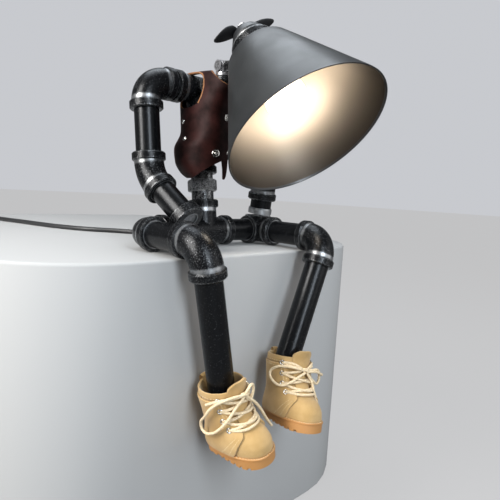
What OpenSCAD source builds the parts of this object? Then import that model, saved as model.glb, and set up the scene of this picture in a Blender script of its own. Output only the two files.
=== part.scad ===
// Desk lamp in the shape of a seated robot, built from half-inch pipe and malleable fittings.
// Frame: the robot faces -Y, its left side is +X, and the seat plane is z = 0.
// The origin lies on the seat plane under the centre of the pelvis tee.
// Each limb has one frame, and every piece of the limb is built along an axis of that frame.

/* [Pipe and fittings] */
// Outside diameter of the pipe
pipe_od = 21.3; // [19:0.1:23]
// Wall of the pipe
pipe_wall = 2.8; // [2:0.1:3.5]
// Diameter of the bead at the mouth of a fitting
bead_od = 28.4; // [27.6:0.1:31]
// Width of the bead
bead_w = 7; // [5:0.5:9]
// Diameter of a fitting between its beads
body_od = 25; // [24:0.1:27]
// Bevel of the bead's edges
bead_bevel = 0.9; // [0.5:0.1:1.5]
// Centre to face of a 90 degree elbow
elbow_cf = 26; // [24:0.5:30]
// Centre to face of a 45 degree elbow
elbow45_cf = 20; // [18:0.5:24]
// Centre to face of a tee
tee_cf = 28; // [26:0.5:32]
// How far a pipe goes into a fitting
thread_len = 10; // [8:0.5:11]
// Radial gap between a pipe and the fitting on it
thread_gap = 0.1; // [0.05:0.01:0.2]
// Length of a straight coupling
coupling_len = 34; // [30:1:40]
// Width across the flats of the hexagons
hex_af = 24; // [23:0.5:27]

/* [Legs] */
// Distance from the middle to each thigh
hip_half = 70; // [64:1:84]
// Hip centre to knee centre
thigh_len = 88; // [76:1:106]
// Inward lean of the right shin, degrees
right_shin_lean = 11.5; // [5:0.5:12]
// Inward lean of the left shin, degrees
left_shin_lean = 22; // [12:0.5:22]
// Knee centre to the top of the boot
boot_top = 111; // [95:1:135]
// Centre to face of the hip corner's inner port
corner_cf = 16; // [15:0.5:20]
// Height of the hexagon over the hip corner's centre
corner_hex_h = 15; // [13.5:0.5:17]

/* [Torso] */
// Backward lean of the torso, degrees
torso_lean = 8; // [5:0.5:11]
// Pelvis centre to shoulder centre, along the torso
torso_len = 129.5; // [122:0.5:156]
// Bare thread under the waist hexagon
waist_lower = 8; // [6:0.5:12]
// Height of the waist hexagon
waist_hex_h = 11; // [8:0.5:12]
// Bare thread over the waist hexagon
waist_upper = 5.5; // [4:0.5:9]
// Depth of the bare thread's cut below the pipe's surface
thread_depth = 0.45; // [0.25:0.05:0.85]

/* [Arms] */
// Middle to right shoulder elbow
right_shoulder = 56.5; // [55:0.5:68]
// Middle to left shoulder elbow, over the left thigh
left_shoulder = 70; // [64:1:84]
// Forward swing of the right upper arm, degrees
right_arm_swing = 8; // [6:0.5:10]
// Right shoulder centre to right elbow centre
upper_arm_len = 82.5; // [80:0.5:90]
// Right elbow centre to the end of the hand
forearm_len = 58; // [50:0.5:66]
// Inward turn of the right forearm, degrees
forearm_turn = 14; // [10:1:20]
// Forward lean of the left forearm, degrees
wrist_lean = 7.5; // [6:0.5:9]
// Left hip centre to the left forearm's coupling
wrist_coupling_at = 31; // [30:0.5:34]
// Length of the ring that ends the right hand
hand_len = 9; // [7:0.5:12]

/* [Head] */
// Height of the tilt pin over the shoulders
pin_rise = 16.56; // [14.56:0.5:19.56]
// Distance of the tilt pin in front of the origin
pin_forward = 18; // [16:0.5:20]
// Tilt of the head's axis from upright, degrees
head_pitch = 41; // [35:0.5:45]
// Tilt pin to the shade's back plate, along the head's axis
plate_drop = 28; // [26:0.5:31]
// Tilt pin to the head's axis
axis_offset = 34.5; // [33:0.5:40]
// Depth of the shade
shade_h = 85; // [70:1:96]
// Outside radius of the shade's mouth
mouth_r = 65; // [56:0.5:70]
// Outside radius of the shade's back plate
back_r = 28.5; // [26:0.5:32]
// Sheet thickness of the shade
shade_t = 1; // [0.8:0.1:1.5]
// Radius of the lampholder's cap
cap_r = 16.5; // [15.5:0.5:17.5]
// Length of the straight part of the cap
cap_h = 19; // [17:0.5:22]
// Height of the cap's taper
cap_taper = 9; // [7:0.5:11]
// Radius of the cap's top
cap_top_r = 12.5; // [11:0.5:14]
// Radius of the lampholder inside the shade
holder_r = 13.5; // [13:0.5:15]
// Length of the lampholder inside the shade
holder_h = 20; // [16:0.5:24]
// Radius of the bulb's globe
bulb_r = 17; // [14:0.5:20]
// Span of the butterfly handle
handle_span = 52; // [44:1:58]
// Turn of the butterfly handle on its stem, degrees
handle_turn = 34; // [0:1:60]
// Upward sweep of the handle's wings, degrees
wing_sweep = 20; // [10:1:30]

/* [Boots] */
// Height of a boot with its sole
boot_h = 54; // [50:1:62]
// Length of the sole
sole_len = 58.5; // [54:0.5:64]
// Width of the sole at the ball of the foot
sole_w = 32.5; // [29:0.5:34]
// Width of the sole at the heel
heel_w = 27; // [24:0.5:29]
// Ankle centre to the back of the heel
heel_back = 17; // [15:0.5:18]
// Thickness of the sole
sole_h = 6.5; // [5:0.5:8]
// Outside diameter of the boot's collar
collar_od = 36; // [33:0.5:38]
// Thickness of the boot's leather
boot_wall = 2.4; // [1.8:0.1:3]
// Turn of both toes towards the middle, degrees
toe_in = 7; // [0:1:12]
// Rise of the right toe, degrees
right_toe_up = 2; // [0:1:6]
// Rise of the left toe, degrees
left_toe_up = 5; // [0:1:8]
// Roll of the left boot against its shin, degrees
left_boot_roll = 11; // [6:1:14]
// Radius of the toe cap's crown
toe_r = 14.5; // [12:0.5:15]

/* [Vest] */
// Thickness of the leather
vest_t = 1.8; // [1.2:0.1:2.4]
// Half width of the vest at the shoulders
vest_top_half = 20; // [18:0.5:23]
// Half width of the vest under the arms
vest_chest_half = 25; // [23:0.5:28]
// Height of the hem's lowest point over the seat
vest_hem_z = 66; // [62:1:72]
// Width of the open front
vest_opening = 16; // [12:1:22]

/* [Cord] */
// Diameter of the cord
cord_d = 5; // [4.5:0.1:5.5]
// Length of the strain relief
relief_len = 26; // [20:1:34]
// Turns of cord side by side in the coil
coil_turns = 4; // [3:1:5]
// Layers of turns in the coil
coil_layers = 2; // [1:1:3]
// Radius of the coil at the middle of its turns
coil_r = 30; // [26:0.5:32]

/* [Hidden] */
$fn = 64;
pipe_r = pipe_od / 2;
thread_od = pipe_od - 2 * thread_depth;
bore_r = pipe_r - pipe_wall;
body_r = body_od / 2;
bead_r = bead_od / 2;
hip_z = bead_r;
seat_gap = 0.3;                 // clearance of a soft or turning piece from its seat
socket_r = pipe_r + thread_gap;
socket_len = thread_len + 0.5;
shoulder_y = torso_len * sin(torso_lean);
shoulder_z = hip_z + torso_len * cos(torso_lean);
pin_z = round(100 * (shoulder_z + pin_rise)) / 100;   // set out to a hundredth

// places along the torso, from the pelvis centre
waist_hex_at = tee_cf + waist_lower;
coupling_at = waist_hex_at + waist_hex_h + waist_upper;
chest_at = coupling_at + coupling_len;

// the left arm and the torso make a triangle that one 45 degree elbow closes
elbow45 = 135;
upper_lean = 180 - elbow45 - wrist_lean;
arm_rise = shoulder_z - hip_z;
left_forearm = (arm_rise * sin(upper_lean) - shoulder_y * cos(upper_lean)) / sin(elbow45);
left_upper = (shoulder_y * cos(wrist_lean) + arm_rise * sin(wrist_lean)) / sin(elbow45);
wrist_foot = corner_hex_h + 1.9;

// neck and knuckle
neck_r = 5.5;
neck_boss_r = 9;
neck_boss_at = body_r + 3;
neck_hex_af = 16;
neck_hex_h = 5;
neck_reach = (pin_forward + shoulder_y) / cos(torso_lean);
neck_ball_z = shoulder_z + neck_reach * sin(torso_lean);
neck_ball_r = 8;
neck_top = pin_z - 8;
ear_in = 2.7;
ear_out = 5.2;
knuckle_r = 5;
pin_r = 2;

// head, measured along its axis from the back plate
holder_neck_r = 10.8;
ring_h = 3.4;
stem_r = 3.5;
hub_at = cap_h + cap_taper + 1;
hub_r = 6.5;
hub_h = 6;
globe_at = holder_h + 2 * bulb_r - 8;

// boots, measured down from the middle of the collar
sole_top = boot_h - sole_h;
foot_tilt = (pipe_r + 0.6) * sin(left_boot_roll);
shin_in_boot = (sole_top - boot_wall - foot_tilt - 0.3) * cos(left_boot_roll);
shin_end = boot_top + shin_in_boot;

// cord route from the strain relief to the coil
cord_exit_y = body_r + relief_len - 1.9;
coil_outer = coil_r + coil_turns * cord_d / 2;
CORD = [
    [0, cord_exit_y, hip_z], [0, cord_exit_y + 7.5, hip_z - 0.1], [0, 52, 12.8], [-0.6, 61, 9], [-1.8, 70, 5.2],
    [-3.6, 79, 3.1], [-6.4, 89, 2.5], [-11, 101, 2.5], [-18, 113, 2.5], [-28, 125, 2.5],
    [-39, 136, 2.5], [-49, 148, 2.5], [-57, 163, 2.5], [-64, 180, 2.5], [-70, 200, 2.5],
    [-75, 221, 2.5], [-80, 244, 2.5], [-86, 266, 2.5], [-90.5, 286, 2.5], [-91.5, 306, 2.5],
    [-91.3, 324, 2.5]
];
coil_centre = [-91.4 - cord_d / 2 - coil_outer, 324];
plug_at = [coil_centre.x - coil_outer + 2.5, coil_centre.y - 20.5, 7];

// ---------- frames ----------

// on the torso, with +Z up along it and +Y to its back
module on_torso(s) {
    translate([0, 0, hip_z]) rotate([-torso_lean, 0, 0]) translate([0, 0, s]) children();
}

// at the knee, with -Z down the shin and -Y towards the toe
module on_right_leg() {
    translate([-hip_half, -thigh_len, hip_z]) rotate([0, -right_shin_lean, 0]) children();
}

module on_left_leg() {
    translate([hip_half, -thigh_len, hip_z]) rotate([0, left_shin_lean, 0]) children();
}

// at the middle of a boot's collar, with -Z to its sole and -Y to its toe
module on_right_boot() {
    on_right_leg() translate([1, 0.5, -boot_top]) rotate([0, 1, 0])
        rotate([-right_toe_up, 0, 0]) rotate([0, 0, toe_in]) children();
}

module on_left_boot() {
    on_left_leg() translate([-1.8, -2, 1.5 - boot_top]) rotate([0, -left_boot_roll, 0])
        rotate([-left_toe_up, 0, 0]) rotate([0, 0, -toe_in]) children();
}

// at the right shoulder, with -Z down the upper arm
module on_right_arm() {
    translate([-right_shoulder, shoulder_y, shoulder_z])
        rotate([-right_arm_swing, 0, 0]) children();
}

// at the right elbow, with +Z along the forearm to the hand
module on_right_forearm() {
    on_right_arm() translate([0, 0, -upper_arm_len])
        rotate([0, 0, forearm_turn - 90]) rotate([0, elbow45, 0]) children();
}

// at the left hip, with +Z up the forearm
module on_left_wrist() {
    translate([hip_half, 0, hip_z]) rotate([wrist_lean, 0, 0]) children();
}

// at the left elbow, with +Z up to the shoulder
module on_left_upper() {
    on_left_wrist() translate([0, 0, left_forearm])
        rotate([-wrist_lean - upper_lean, 0, 0]) children();
}

// at the shade's back plate, with -Z to the mouth and +Y towards the neck
module on_head() {
    translate([0, -pin_forward, pin_z]) rotate([-head_pitch, 0, 0])
        translate([0, -axis_offset, -plate_drop]) children();
}

// ---------- pipe and fittings ----------

// pipe that shows from a to b, with a thread inside the fitting at each end
module pipe_between(a, b) {
    length = b - a + 2 * thread_len;
    translate([0, 0, a - thread_len]) difference() {
        cylinder(r = pipe_r, h = length);
        translate([0, 0, -1]) cylinder(r = bore_r, h = length + 2);
    }
}

// bead on +Z with its face at cf
module bead(cf, w = bead_w) {
    b = bead_bevel;
    rotate_extrude() polygon([
        [0, cf - w], [bead_r - b, cf - w], [bead_r, cf - w + b],
        [bead_r, cf - b], [bead_r - b, cf], [0, cf]
    ]);
}

// port of a cast fitting on +Z
module port(cf, r = body_r) {
    cylinder(r = r, h = cf - bead_w + 1);
    bead(cf);
}

// threaded socket that opens at cf on +Z
module socket(cf) {
    translate([0, 0, cf - socket_len]) cylinder(r = socket_r, h = socket_len + 1);
}

// bend from +Z to a port that is turned from it towards +X, with its tangent points given
module bend(turn, tangent, r) {
    radius = tangent * tan(turn / 2);
    translate([radius, 0, tangent]) rotate([90, 0, 0]) rotate([0, 0, 180])
        rotate_extrude(angle = 180 - turn) translate([radius, 0]) circle(r = r);
}

// elbow with one port on +Z and one turned from it towards +X
module elbow(turn, cf) {
    difference() {
        union() {
            bend(turn, cf - bead_w + 1, body_r);
            bead(cf);
            rotate([0, turn, 0]) bead(cf);
        }
        bend(turn, cf - socket_len + 1.5, bore_r);
        socket(cf);
        rotate([0, turn, 0]) socket(cf);
    }
}

// body of a tee with its run on X and its branch on +Z
module tee_body(cf) {
    rotate([0, 90, 0]) translate([0, 0, bead_w - cf - 1])
        cylinder(r = body_r, h = 2 * (cf - bead_w + 1));
    for (a = [90, -90]) rotate([0, a, 0]) bead(cf);
    port(cf, body_r - 0.4);
}

module tee_bores(cf) {
    rotate([0, 90, 0]) translate([0, 0, -cf]) cylinder(r = bore_r, h = 2 * cf);
    cylinder(r = bore_r - 0.5, h = cf);
    for (a = [0, 90, -90]) rotate([0, a, 0]) socket(cf);
}

module coupling(length) {
    difference() {
        union() {
            cylinder(r = body_r, h = length);
            bead(bead_w);
            bead(length);
        }
        translate([0, 0, -1]) cylinder(r = socket_r, h = socket_len + 1);
        socket(length);
        translate([0, 0, -1]) cylinder(r = bore_r, h = length + 2);
    }
}

module hexagon(af, h) {
    across = af / cos(30);
    b = 1.4;
    intersection() {
        cylinder(d = across, h = h, $fn = 6);
        rotate_extrude() polygon([
            [0, 0], [across / 2 - b, 0], [across / 2 + 0.2, b],
            [across / 2 + 0.2, h - b], [across / 2 - b, h], [0, h]
        ]);
    }
}

// ---------- hips and thighs ----------

module pelvis_tee() color("#2a2c2f") difference() {
    on_torso(0) tee_body(tee_cf);
    on_torso(0) tee_bores(tee_cf);
    translate([0, bore_r - 1, hip_z]) rotate([-90, 0, 0])
        cylinder(r = cord_d / 2 + 2.1, h = body_r);
}

module right_hip_nipple() color("#1b1c1e") translate([0, 0, hip_z])
    rotate([0, -90, 0]) pipe_between(tee_cf, hip_half - elbow_cf);

module left_hip_nipple() color("#1b1c1e") translate([0, 0, hip_z])
    rotate([0, 90, 0]) pipe_between(tee_cf, hip_half - corner_cf);

module right_hip_elbow() color("#2a2c2f") translate([-hip_half, 0, hip_z])
    rotate([90, 0, 0]) elbow(90, elbow_cf);

// fitting with a port to the pelvis, a port to the thigh, and a hexagon under the left hand
module left_hip_corner() color("#2a2c2f") translate([hip_half, 0, hip_z]) difference() {
    union() {
        sphere(r = body_r + 0.5);
        rotate([90, 0, 0]) port(elbow_cf);
        rotate([0, -90, 0]) port(corner_cf);
        translate([0, 0, 2]) hexagon(hex_af, corner_hex_h - 2);
    }
    sphere(r = bore_r + 0.4);
    rotate([90, 0, 0]) cylinder(r = bore_r, h = elbow_cf);
    rotate([90, 0, 0]) socket(elbow_cf);
    rotate([0, -90, 0]) socket(corner_cf);
    cylinder(r = bore_r, h = corner_hex_h + 1);
}

module right_thigh_pipe() color("#1b1c1e") translate([-hip_half, 0, hip_z])
    rotate([90, 0, 0]) pipe_between(elbow_cf, thigh_len - elbow_cf);

module left_thigh_pipe() color("#1b1c1e") translate([hip_half, 0, hip_z])
    rotate([90, 0, 0]) pipe_between(elbow_cf, thigh_len - elbow_cf);

// ring at the foot of the left forearm
module hand_bushing() color("#3a3c40") on_left_wrist() translate([0, 0, wrist_foot])
    difference() {
        rotate_extrude() polygon([
            [0, 0], [pipe_r + 1.3, 0], [pipe_r + 1.3, 4.5], [pipe_r + 0.6, 6], [0, 6]
        ]);
        translate([0, 0, -1]) cylinder(r = socket_r, h = 8);
    }

// ---------- torso ----------

module waist_nipple() color("#3a3c40") on_torso(0) {
    foot = tee_cf - thread_len;
    length = coupling_at + thread_len - foot;
    difference() {
        union() {
            translate([0, 0, foot]) cylinder(d = thread_od, h = length);
            translate([0, 0, waist_hex_at]) rotate([0, 0, 10]) hexagon(hex_af, waist_hex_h);
        }
        translate([0, 0, foot - 1]) cylinder(r = bore_r, h = length + 2);
    }
}

module torso_coupling() color("#2a2c2f") on_torso(coupling_at) coupling(coupling_len);

module torso_pipe() color("#1b1c1e") on_torso(0) pipe_between(chest_at, torso_len - tee_cf);

// tee with its branch down, and a drilled boss in front for the neck
module shoulder_tee() color("#2a2c2f") on_torso(torso_len) difference() {
    union() {
        rotate([180, 0, 0]) tee_body(tee_cf);
        rotate([90, 0, 0]) cylinder(r = neck_boss_r, h = neck_boss_at);
    }
    rotate([180, 0, 0]) tee_bores(tee_cf);
    rotate([90, 0, 0]) cylinder(r = neck_r + thread_gap, h = neck_boss_at + 1);
}

module right_shoulder_nipple() color("#1b1c1e") on_torso(torso_len)
    rotate([0, -90, 0]) pipe_between(tee_cf, right_shoulder - elbow_cf);

module left_shoulder_nipple() color("#1b1c1e") on_torso(torso_len)
    rotate([0, 90, 0]) pipe_between(tee_cf, left_shoulder - elbow_cf);

// ---------- left arm, screwed in at both ends ----------

module left_shoulder_elbow() color("#2a2c2f")
    translate([left_shoulder, shoulder_y, shoulder_z]) rotate([-upper_lean, 0, 0])
        rotate([180, 0, 180]) elbow(90, elbow_cf);

module left_upper_arm() color("#1b1c1e") on_left_upper()
    pipe_between(elbow45_cf, left_upper - elbow_cf);

module left_elbow() color("#2a2c2f") on_left_upper()
    rotate([0, 0, 90]) elbow(elbow45, elbow45_cf);

module left_forearm_pipe() color("#1b1c1e") on_left_wrist()
    pipe_between(wrist_coupling_at + coupling_len, left_forearm - elbow45_cf);

module left_forearm_coupling() color("#2a2c2f") on_left_wrist()
    translate([0, 0, wrist_coupling_at]) coupling(coupling_len);

module left_wrist_pipe() color("#1b1c1e") on_left_wrist()
    translate([0, 0, wrist_foot]) difference() {
        cylinder(r = pipe_r, h = wrist_coupling_at + thread_len - wrist_foot);
        translate([0, 0, -1]) cylinder(r = bore_r, h = wrist_coupling_at + thread_len);
    }

// ---------- right arm ----------

module right_shoulder_elbow() color("#2a2c2f") on_right_arm()
    rotate([180, 0, 0]) elbow(90, elbow_cf);

module right_upper_arm() color("#1b1c1e") on_right_arm() rotate([180, 0, 0])
    pipe_between(elbow_cf, upper_arm_len - elbow45_cf);

module right_elbow() color("#2a2c2f") on_right_arm() translate([0, 0, -upper_arm_len])
    rotate([0, 0, forearm_turn - 90]) elbow(elbow45, elbow45_cf);

module right_forearm_pipe() color("#1b1c1e") on_right_forearm() {
    length = forearm_len - 3.5 - elbow45_cf + thread_len;
    translate([0, 0, elbow45_cf - thread_len]) difference() {
        cylinder(r = pipe_r, h = length);
        translate([0, 0, -1]) cylinder(r = bore_r, h = length + 2);
    }
}

// closed ring at the end of the forearm
module right_hand() color("#3a3c40") on_right_forearm() difference() {
    bead(forearm_len, hand_len);
    translate([0, 0, forearm_len - hand_len - 1]) cylinder(r = socket_r, h = hand_len - 2);
    translate([0, 0, forearm_len - 1.2]) cylinder(r = bore_r, h = 2);
}

// ---------- lower legs ----------

module knee_elbow() color("#2a2c2f") rotate([180, 0, 90]) elbow(90, elbow_cf);

module shin_pipe() color("#1b1c1e") translate([0, 0, -shin_end]) difference() {
    cylinder(r = pipe_r, h = shin_end - elbow_cf + thread_len);
    translate([0, 0, -1]) cylinder(r = bore_r, h = shin_end);
}

// outline of a sole, with the toe towards -Y
module sole_shape(inset = 0) {
    ball_r = sole_w / 2 - inset;
    heel_r = heel_w / 2 - inset;
    ball_y = heel_back - sole_len + sole_w / 2;
    heel_y = heel_back - heel_w / 2;
    lean = asin((ball_r - heel_r) / (heel_y - ball_y));
    translate([0, ball_y]) circle(r = ball_r);
    translate([0, heel_y]) circle(r = heel_r);
    polygon([
        [ball_r * cos(lean), ball_y + ball_r * sin(lean)],
        [heel_r * cos(lean), heel_y + heel_r * sin(lean)],
        [-heel_r * cos(lean), heel_y + heel_r * sin(lean)],
        [-ball_r * cos(lean), ball_y + ball_r * sin(lean)]
    ]);
}

// boot without its sole, before it is hollowed: shaft, instep and round toe
module boot_form() {
    collar_r = collar_od / 2;
    toe_y = heel_back - sole_len + sole_w / 2;
    ankle = 24;
    hull() {
        translate([0, 0, -1]) cylinder(r = collar_r, h = 1, $fn = 32);
        translate([0, 0.5, -ankle]) cylinder(r = collar_r - 1.5, h = 1, $fn = 32);
    }
    hull() {
        translate([0, 0.5, -ankle]) cylinder(r = collar_r - 1.5, h = 1, $fn = 32);
        translate([0, -13, -ankle - 1]) sphere(r = 8, $fn = 24);
        translate([0, toe_y, -sole_top + 5]) sphere(r = toe_r, $fn = 32);
        translate([0, 0, -sole_top]) linear_extrude(2, $fn = 32) sole_shape(1.2);
    }
}

// hollow of a boot in its own frame: the collar, and all that lies under the sole's top
module boot_hollow() {
    translate([0, 0, -22]) cylinder(r = collar_od / 2 - boot_wall, h = 30);
    translate([-40, -80, -sole_top - 20]) cube([80, 160, 20]);
}

// room for the shin, in the leg's frame
module shin_room() {
    translate([0, 0, -shin_end - 0.2]) cylinder(r = pipe_r + 0.6, h = shin_end);
}

// sole with a heel step and rows of lugs
module sole() color("#e0913f") translate([0, 0, -boot_h]) difference() {
    linear_extrude(sole_h) sole_shape();
    for (i = [0:6], s = [-1, 1])
        translate([s * sole_w / 2, heel_back - 12 - i * 6.2, -1]) cube([7, 2.4, 5], center = true);
    translate([-sole_w, heel_back - 22, -1]) cube([2 * sole_w, 5, 2.2]);
}

module right_knee_elbow() on_right_leg() knee_elbow();
module right_shin_pipe() on_right_leg() shin_pipe();
module right_boot() color("#cfa96a") difference() {
    on_right_boot() boot_form();
    on_right_boot() boot_hollow();
    on_right_leg() shin_room();
}
module right_sole() on_right_boot() sole();
module left_knee_elbow() on_left_leg() knee_elbow();
module left_shin_pipe() on_left_leg() shin_pipe();
module left_boot() color("#cfa96a") difference() {
    on_left_boot() boot_form();
    on_left_boot() boot_hollow();
    on_left_leg() shin_room();
}
module left_sole() on_left_boot() sole();

// ---------- neck and knuckle ----------

module neck_stub() color("#b9bcc0") on_torso(torso_len) rotate([90, 0, 0]) {
    tail = body_r - 2;
    translate([0, 0, tail]) cylinder(r = neck_r, h = neck_reach - 7.9 - tail);
    translate([0, 0, neck_boss_at + 0.1]) hexagon(neck_hex_af, neck_hex_h);
}

// ball that turns the neck upwards, with a sleeve for the stub and a flat top for the fork
module neck_elbow() color("#b9bcc0") difference() {
    sleeve_at = neck_boss_at + neck_hex_h + 0.3;
    union() {
        translate([0, -pin_forward, neck_ball_z]) sphere(r = neck_ball_r);
        on_torso(torso_len) rotate([90, 0, 0]) translate([0, 0, sleeve_at])
            cylinder(r = neck_ball_r - 0.6, h = neck_reach - sleeve_at);
    }
    on_torso(torso_len) rotate([90, 0, 0]) cylinder(r = neck_r + thread_gap, h = neck_reach - 7.8);
    translate([0, -pin_forward, neck_top]) cylinder(r = 7.4, h = 20);
    translate([0, -pin_forward, neck_top - 5.2]) cylinder(r = pin_r + 0.05, h = 8);
}

// fork that turns on the neck and carries the tilt pin
module swivel_fork() color("#c4c7cb") translate([0, -pin_forward, 0]) difference() {
    union() {
        translate([0, 0, neck_top + 0.05]) cylinder(r = 7, h = 2.4);
        translate([0, 0, neck_top - 5]) cylinder(r = pin_r, h = 6);
        for (s = [-1, 1]) {
            translate([s * (ear_in + ear_out) / 2, 0, (neck_top + 2 + pin_z) / 2])
                cube([ear_out - ear_in, 2 * knuckle_r, pin_z - neck_top - 2], center = true);
            translate([s * (ear_in + ear_out) / 2, 0, pin_z]) rotate([0, 90, 0])
                cylinder(r = knuckle_r, h = ear_out - ear_in, center = true);
        }
    }
    translate([-20, 0, pin_z]) rotate([0, 90, 0]) cylinder(r = pin_r + 0.05, h = 40);
}

// tilt pin with a thumb screw head on the right and a nut on the left
module swivel_pin() color("#c4c7cb") translate([0, -pin_forward, pin_z]) rotate([0, 90, 0]) {
    translate([0, 0, -ear_out - 1]) cylinder(r = pin_r, h = 2 * ear_out + 3);
    translate([0, 0, -ear_out - 2.6]) cylinder(r = 4.6, h = 2.5);
    translate([0, 0, ear_out + 0.1]) hexagon(7, 2.6);
}

// clamp ring on the cap with the tongue that the tilt pin holds
module head_link() color("#b9bcc0") on_head() difference() {
    union() {
        translate([0, 0, 7]) cylinder(r = cap_r + 2.2, h = 8);
        translate([0, axis_offset, plate_drop]) rotate([0, 90, 0])
            cylinder(r = knuckle_r, h = 2 * ear_in - 0.3, center = true);
        rotate([90, 0, 90]) translate([0, 0, -ear_in + 0.15]) linear_extrude(2 * ear_in - 0.3)
            polygon([
                [cap_r, 7], [axis_offset + 3.6, plate_drop - 3.4],
                [axis_offset - 4.2, plate_drop + 2.6], [cap_r, 15]
            ]);
    }
    translate([0, 0, 6]) cylinder(r = cap_r + 0.05, h = 10);
    translate([-20, axis_offset, plate_drop]) rotate([0, 90, 0])
        cylinder(r = pin_r + 0.05, h = 40);
}

// ---------- head ----------

// domed cap behind the shade, open towards the lampholder
module holder_cap() color("#1d1e20") on_head() {
    wall = 1.6;
    top = cap_h + cap_taper;
    difference() {
        rotate_extrude() polygon([
            [0, 0.1], [cap_r, 0.1], [cap_r, cap_h], [cap_top_r, top - 1], [cap_top_r - 1, top],
            [0, top]
        ]);
        translate([0, 0, -1]) cylinder(r = cap_r - wall, h = cap_h);
        cylinder(r = stem_r + 0.05, h = top + 1);
    }
}

// spun cone with a flat back plate
module shade() color("#474b4d") on_head() {
    slope = (mouth_r - back_r) / shade_h;
    wall = shade_t * sqrt(1 + slope * slope);
    rotate_extrude($fn = 128) polygon([
        [holder_neck_r + 0.1, 0], [back_r - 1.5, 0], [back_r, -1],
        [mouth_r, -shade_h], [mouth_r - wall, -shade_h],
        [back_r - wall, -shade_t - 1.2], [back_r - wall - 1.5, -shade_t],
        [holder_neck_r + 0.1, -shade_t]
    ]);
}

// threaded ring that clamps the shade to the lampholder
module shade_ring() color("#1d1e20") on_head() translate([0, 0, -shade_t - 0.1 - ring_h])
    difference() {
        cylinder(r = 16.5, h = ring_h);
        translate([0, 0, -1]) cylinder(r = holder_neck_r + 0.1, h = ring_h + 2);
    }

module lampholder() color("#e6e2d8") on_head() {
    skirt_top = -shade_t - ring_h - 0.2;
    difference() {
        union() {
            translate([0, 0, skirt_top - 1]) cylinder(r = holder_neck_r, h = 9 - skirt_top);
            translate([0, 0, -holder_h]) cylinder(r = holder_r, h = holder_h + skirt_top);
        }
        translate([0, 0, -holder_h - 1]) cylinder(r = 7.2, h = holder_h - 1);
    }
}

// screw base of the bulb
module bulb_base() color("#c9b27a") on_head() {
    translate([0, 0, -holder_h - 3]) cylinder(r = 6.9, h = holder_h - 0.6);
    translate([0, 0, -3.7]) cylinder(r = 2.5, h = 1.5);
}

// hollow globe with a neck that meets the screw base
module bulb_glass() color("#fff6df") on_head() {
    glass_t = 1;
    neck = 6.8;
    foot = -holder_h - 3.1;
    rotate_extrude() polygon(concat(
        [[neck - glass_t, foot], [neck, foot]],
        [for (a = [24:8:176]) [bulb_r * sin(a), bulb_r * cos(a) - globe_at]],
        [[0, -globe_at - bulb_r], [0, glass_t - globe_at - bulb_r]],
        [for (a = [176:-8:24]) (bulb_r - glass_t) * [sin(a), cos(a)] - [0, globe_at]]
    ));
}

// quarter-turn stem of the switch
module switch_stem() color("#b9bcc0") on_head() {
    foot = cap_h - 5;
    translate([0, 0, foot]) cylinder(r = stem_r, h = hub_at + hub_h + 2 - foot);
    translate([0, 0, foot]) cylinder(r = 7, h = 3.9);
}

// two swept wings on a hub
module switch_handle() color("#17181a") on_head() translate([0, 0, hub_at]) {
    reach = handle_span / 2;
    difference() {
        union() {
            cylinder(r = hub_r, h = hub_h);
            for (s = [0, 180]) rotate([0, 0, s - handle_turn]) hull($fn = 32) {
                translate([hub_r - 2, 0, 1]) cylinder(r = 5, h = 3);
                translate([reach - 7, 0, 2.6]) rotate([0, -wing_sweep, 0])
                    cylinder(r = 7, h = 2.4);
            }
        }
        translate([0, 0, -1]) cylinder(r = stem_r + 0.05, h = hub_h + 8);
        translate([0, 0, hub_h]) cylinder(r = 5, h = 12);
    }
}

module handle_nut() color("#c4c7cb") on_head() translate([0, 0, hub_at + hub_h + 0.05])
    difference() {
        hexagon(8, 3);
        translate([0, 0, -1]) cylinder(r = stem_r + 0.02, h = 3.2);
    }

// ---------- clothes ----------

// one level of the vest, as a thin oval slab
module vest_level(z, half_x, half_y, y) {
    translate([0, y, z]) scale([half_x, half_y, 1]) cylinder(r = 1, h = 0.5, $fn = 32);
}

// levels from the hem to the shoulders: height, half width, half depth, and centre
module vest_form(inset) {
    top = shoulder_z + body_r + seat_gap + vest_t - 0.5;
    lean_y = shoulder_y - 18;
    levels = [
        [vest_hem_z - 8 - inset, vest_chest_half - 6, 22, 0],
        [vest_hem_z + 10, vest_chest_half, 26, 6],
        [vest_hem_z + 22, vest_chest_half, 27, 8],
        [vest_hem_z + 37, vest_top_half - 1.4, 24.4, 6 + lean_y * 0.7],
        [shoulder_z - 20, vest_top_half - 1.8, 25, 8 + lean_y],
        [shoulder_z + 4, vest_top_half, 22, 12 + lean_y],
        [top - inset, vest_top_half - 0.8, 14, 17 + lean_y]
    ];
    for (i = [0:len(levels) - 2]) hull() for (v = [levels[i], levels[i + 1]])
        vest_level(v[0], v[1] - inset, v[2] - inset, v[3]);
}

module vest() color("#4b2b24") difference() {
    armhole_r = body_r + 2.2;
    hem_rise = vest_hem_z + 14;
    vest_form(0);
    vest_form(vest_t);
    translate([0, shoulder_y, shoulder_z + body_r + 0.6 - armhole_r]) rotate([0, 90, 0])
        cylinder(r = armhole_r, h = 80, center = true);
    translate([-vest_opening / 2, -40, vest_hem_z - 10]) cube([vest_opening, 50, 120]);
    translate([-neck_boss_r - 2.5, -40, shoulder_z - 20]) cube([2 * neck_boss_r + 5, 54, 30]);
    translate([-vest_opening / 2, 0, shoulder_z + 4]) cube([vest_opening, 36, 20]);
    rotate([90, 0, 90]) linear_extrude(100, center = true) polygon([
        [60, 0], [60, vest_hem_z - 6], [24, vest_hem_z - 5], [9, vest_hem_z + 1],
        [-7, hem_rise], [-11, hem_rise - 2], [-16, vest_hem_z - 4], [-60, vest_hem_z - 4],
        [-60, 0]
    ]);
}

// ---------- cord ----------

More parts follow.
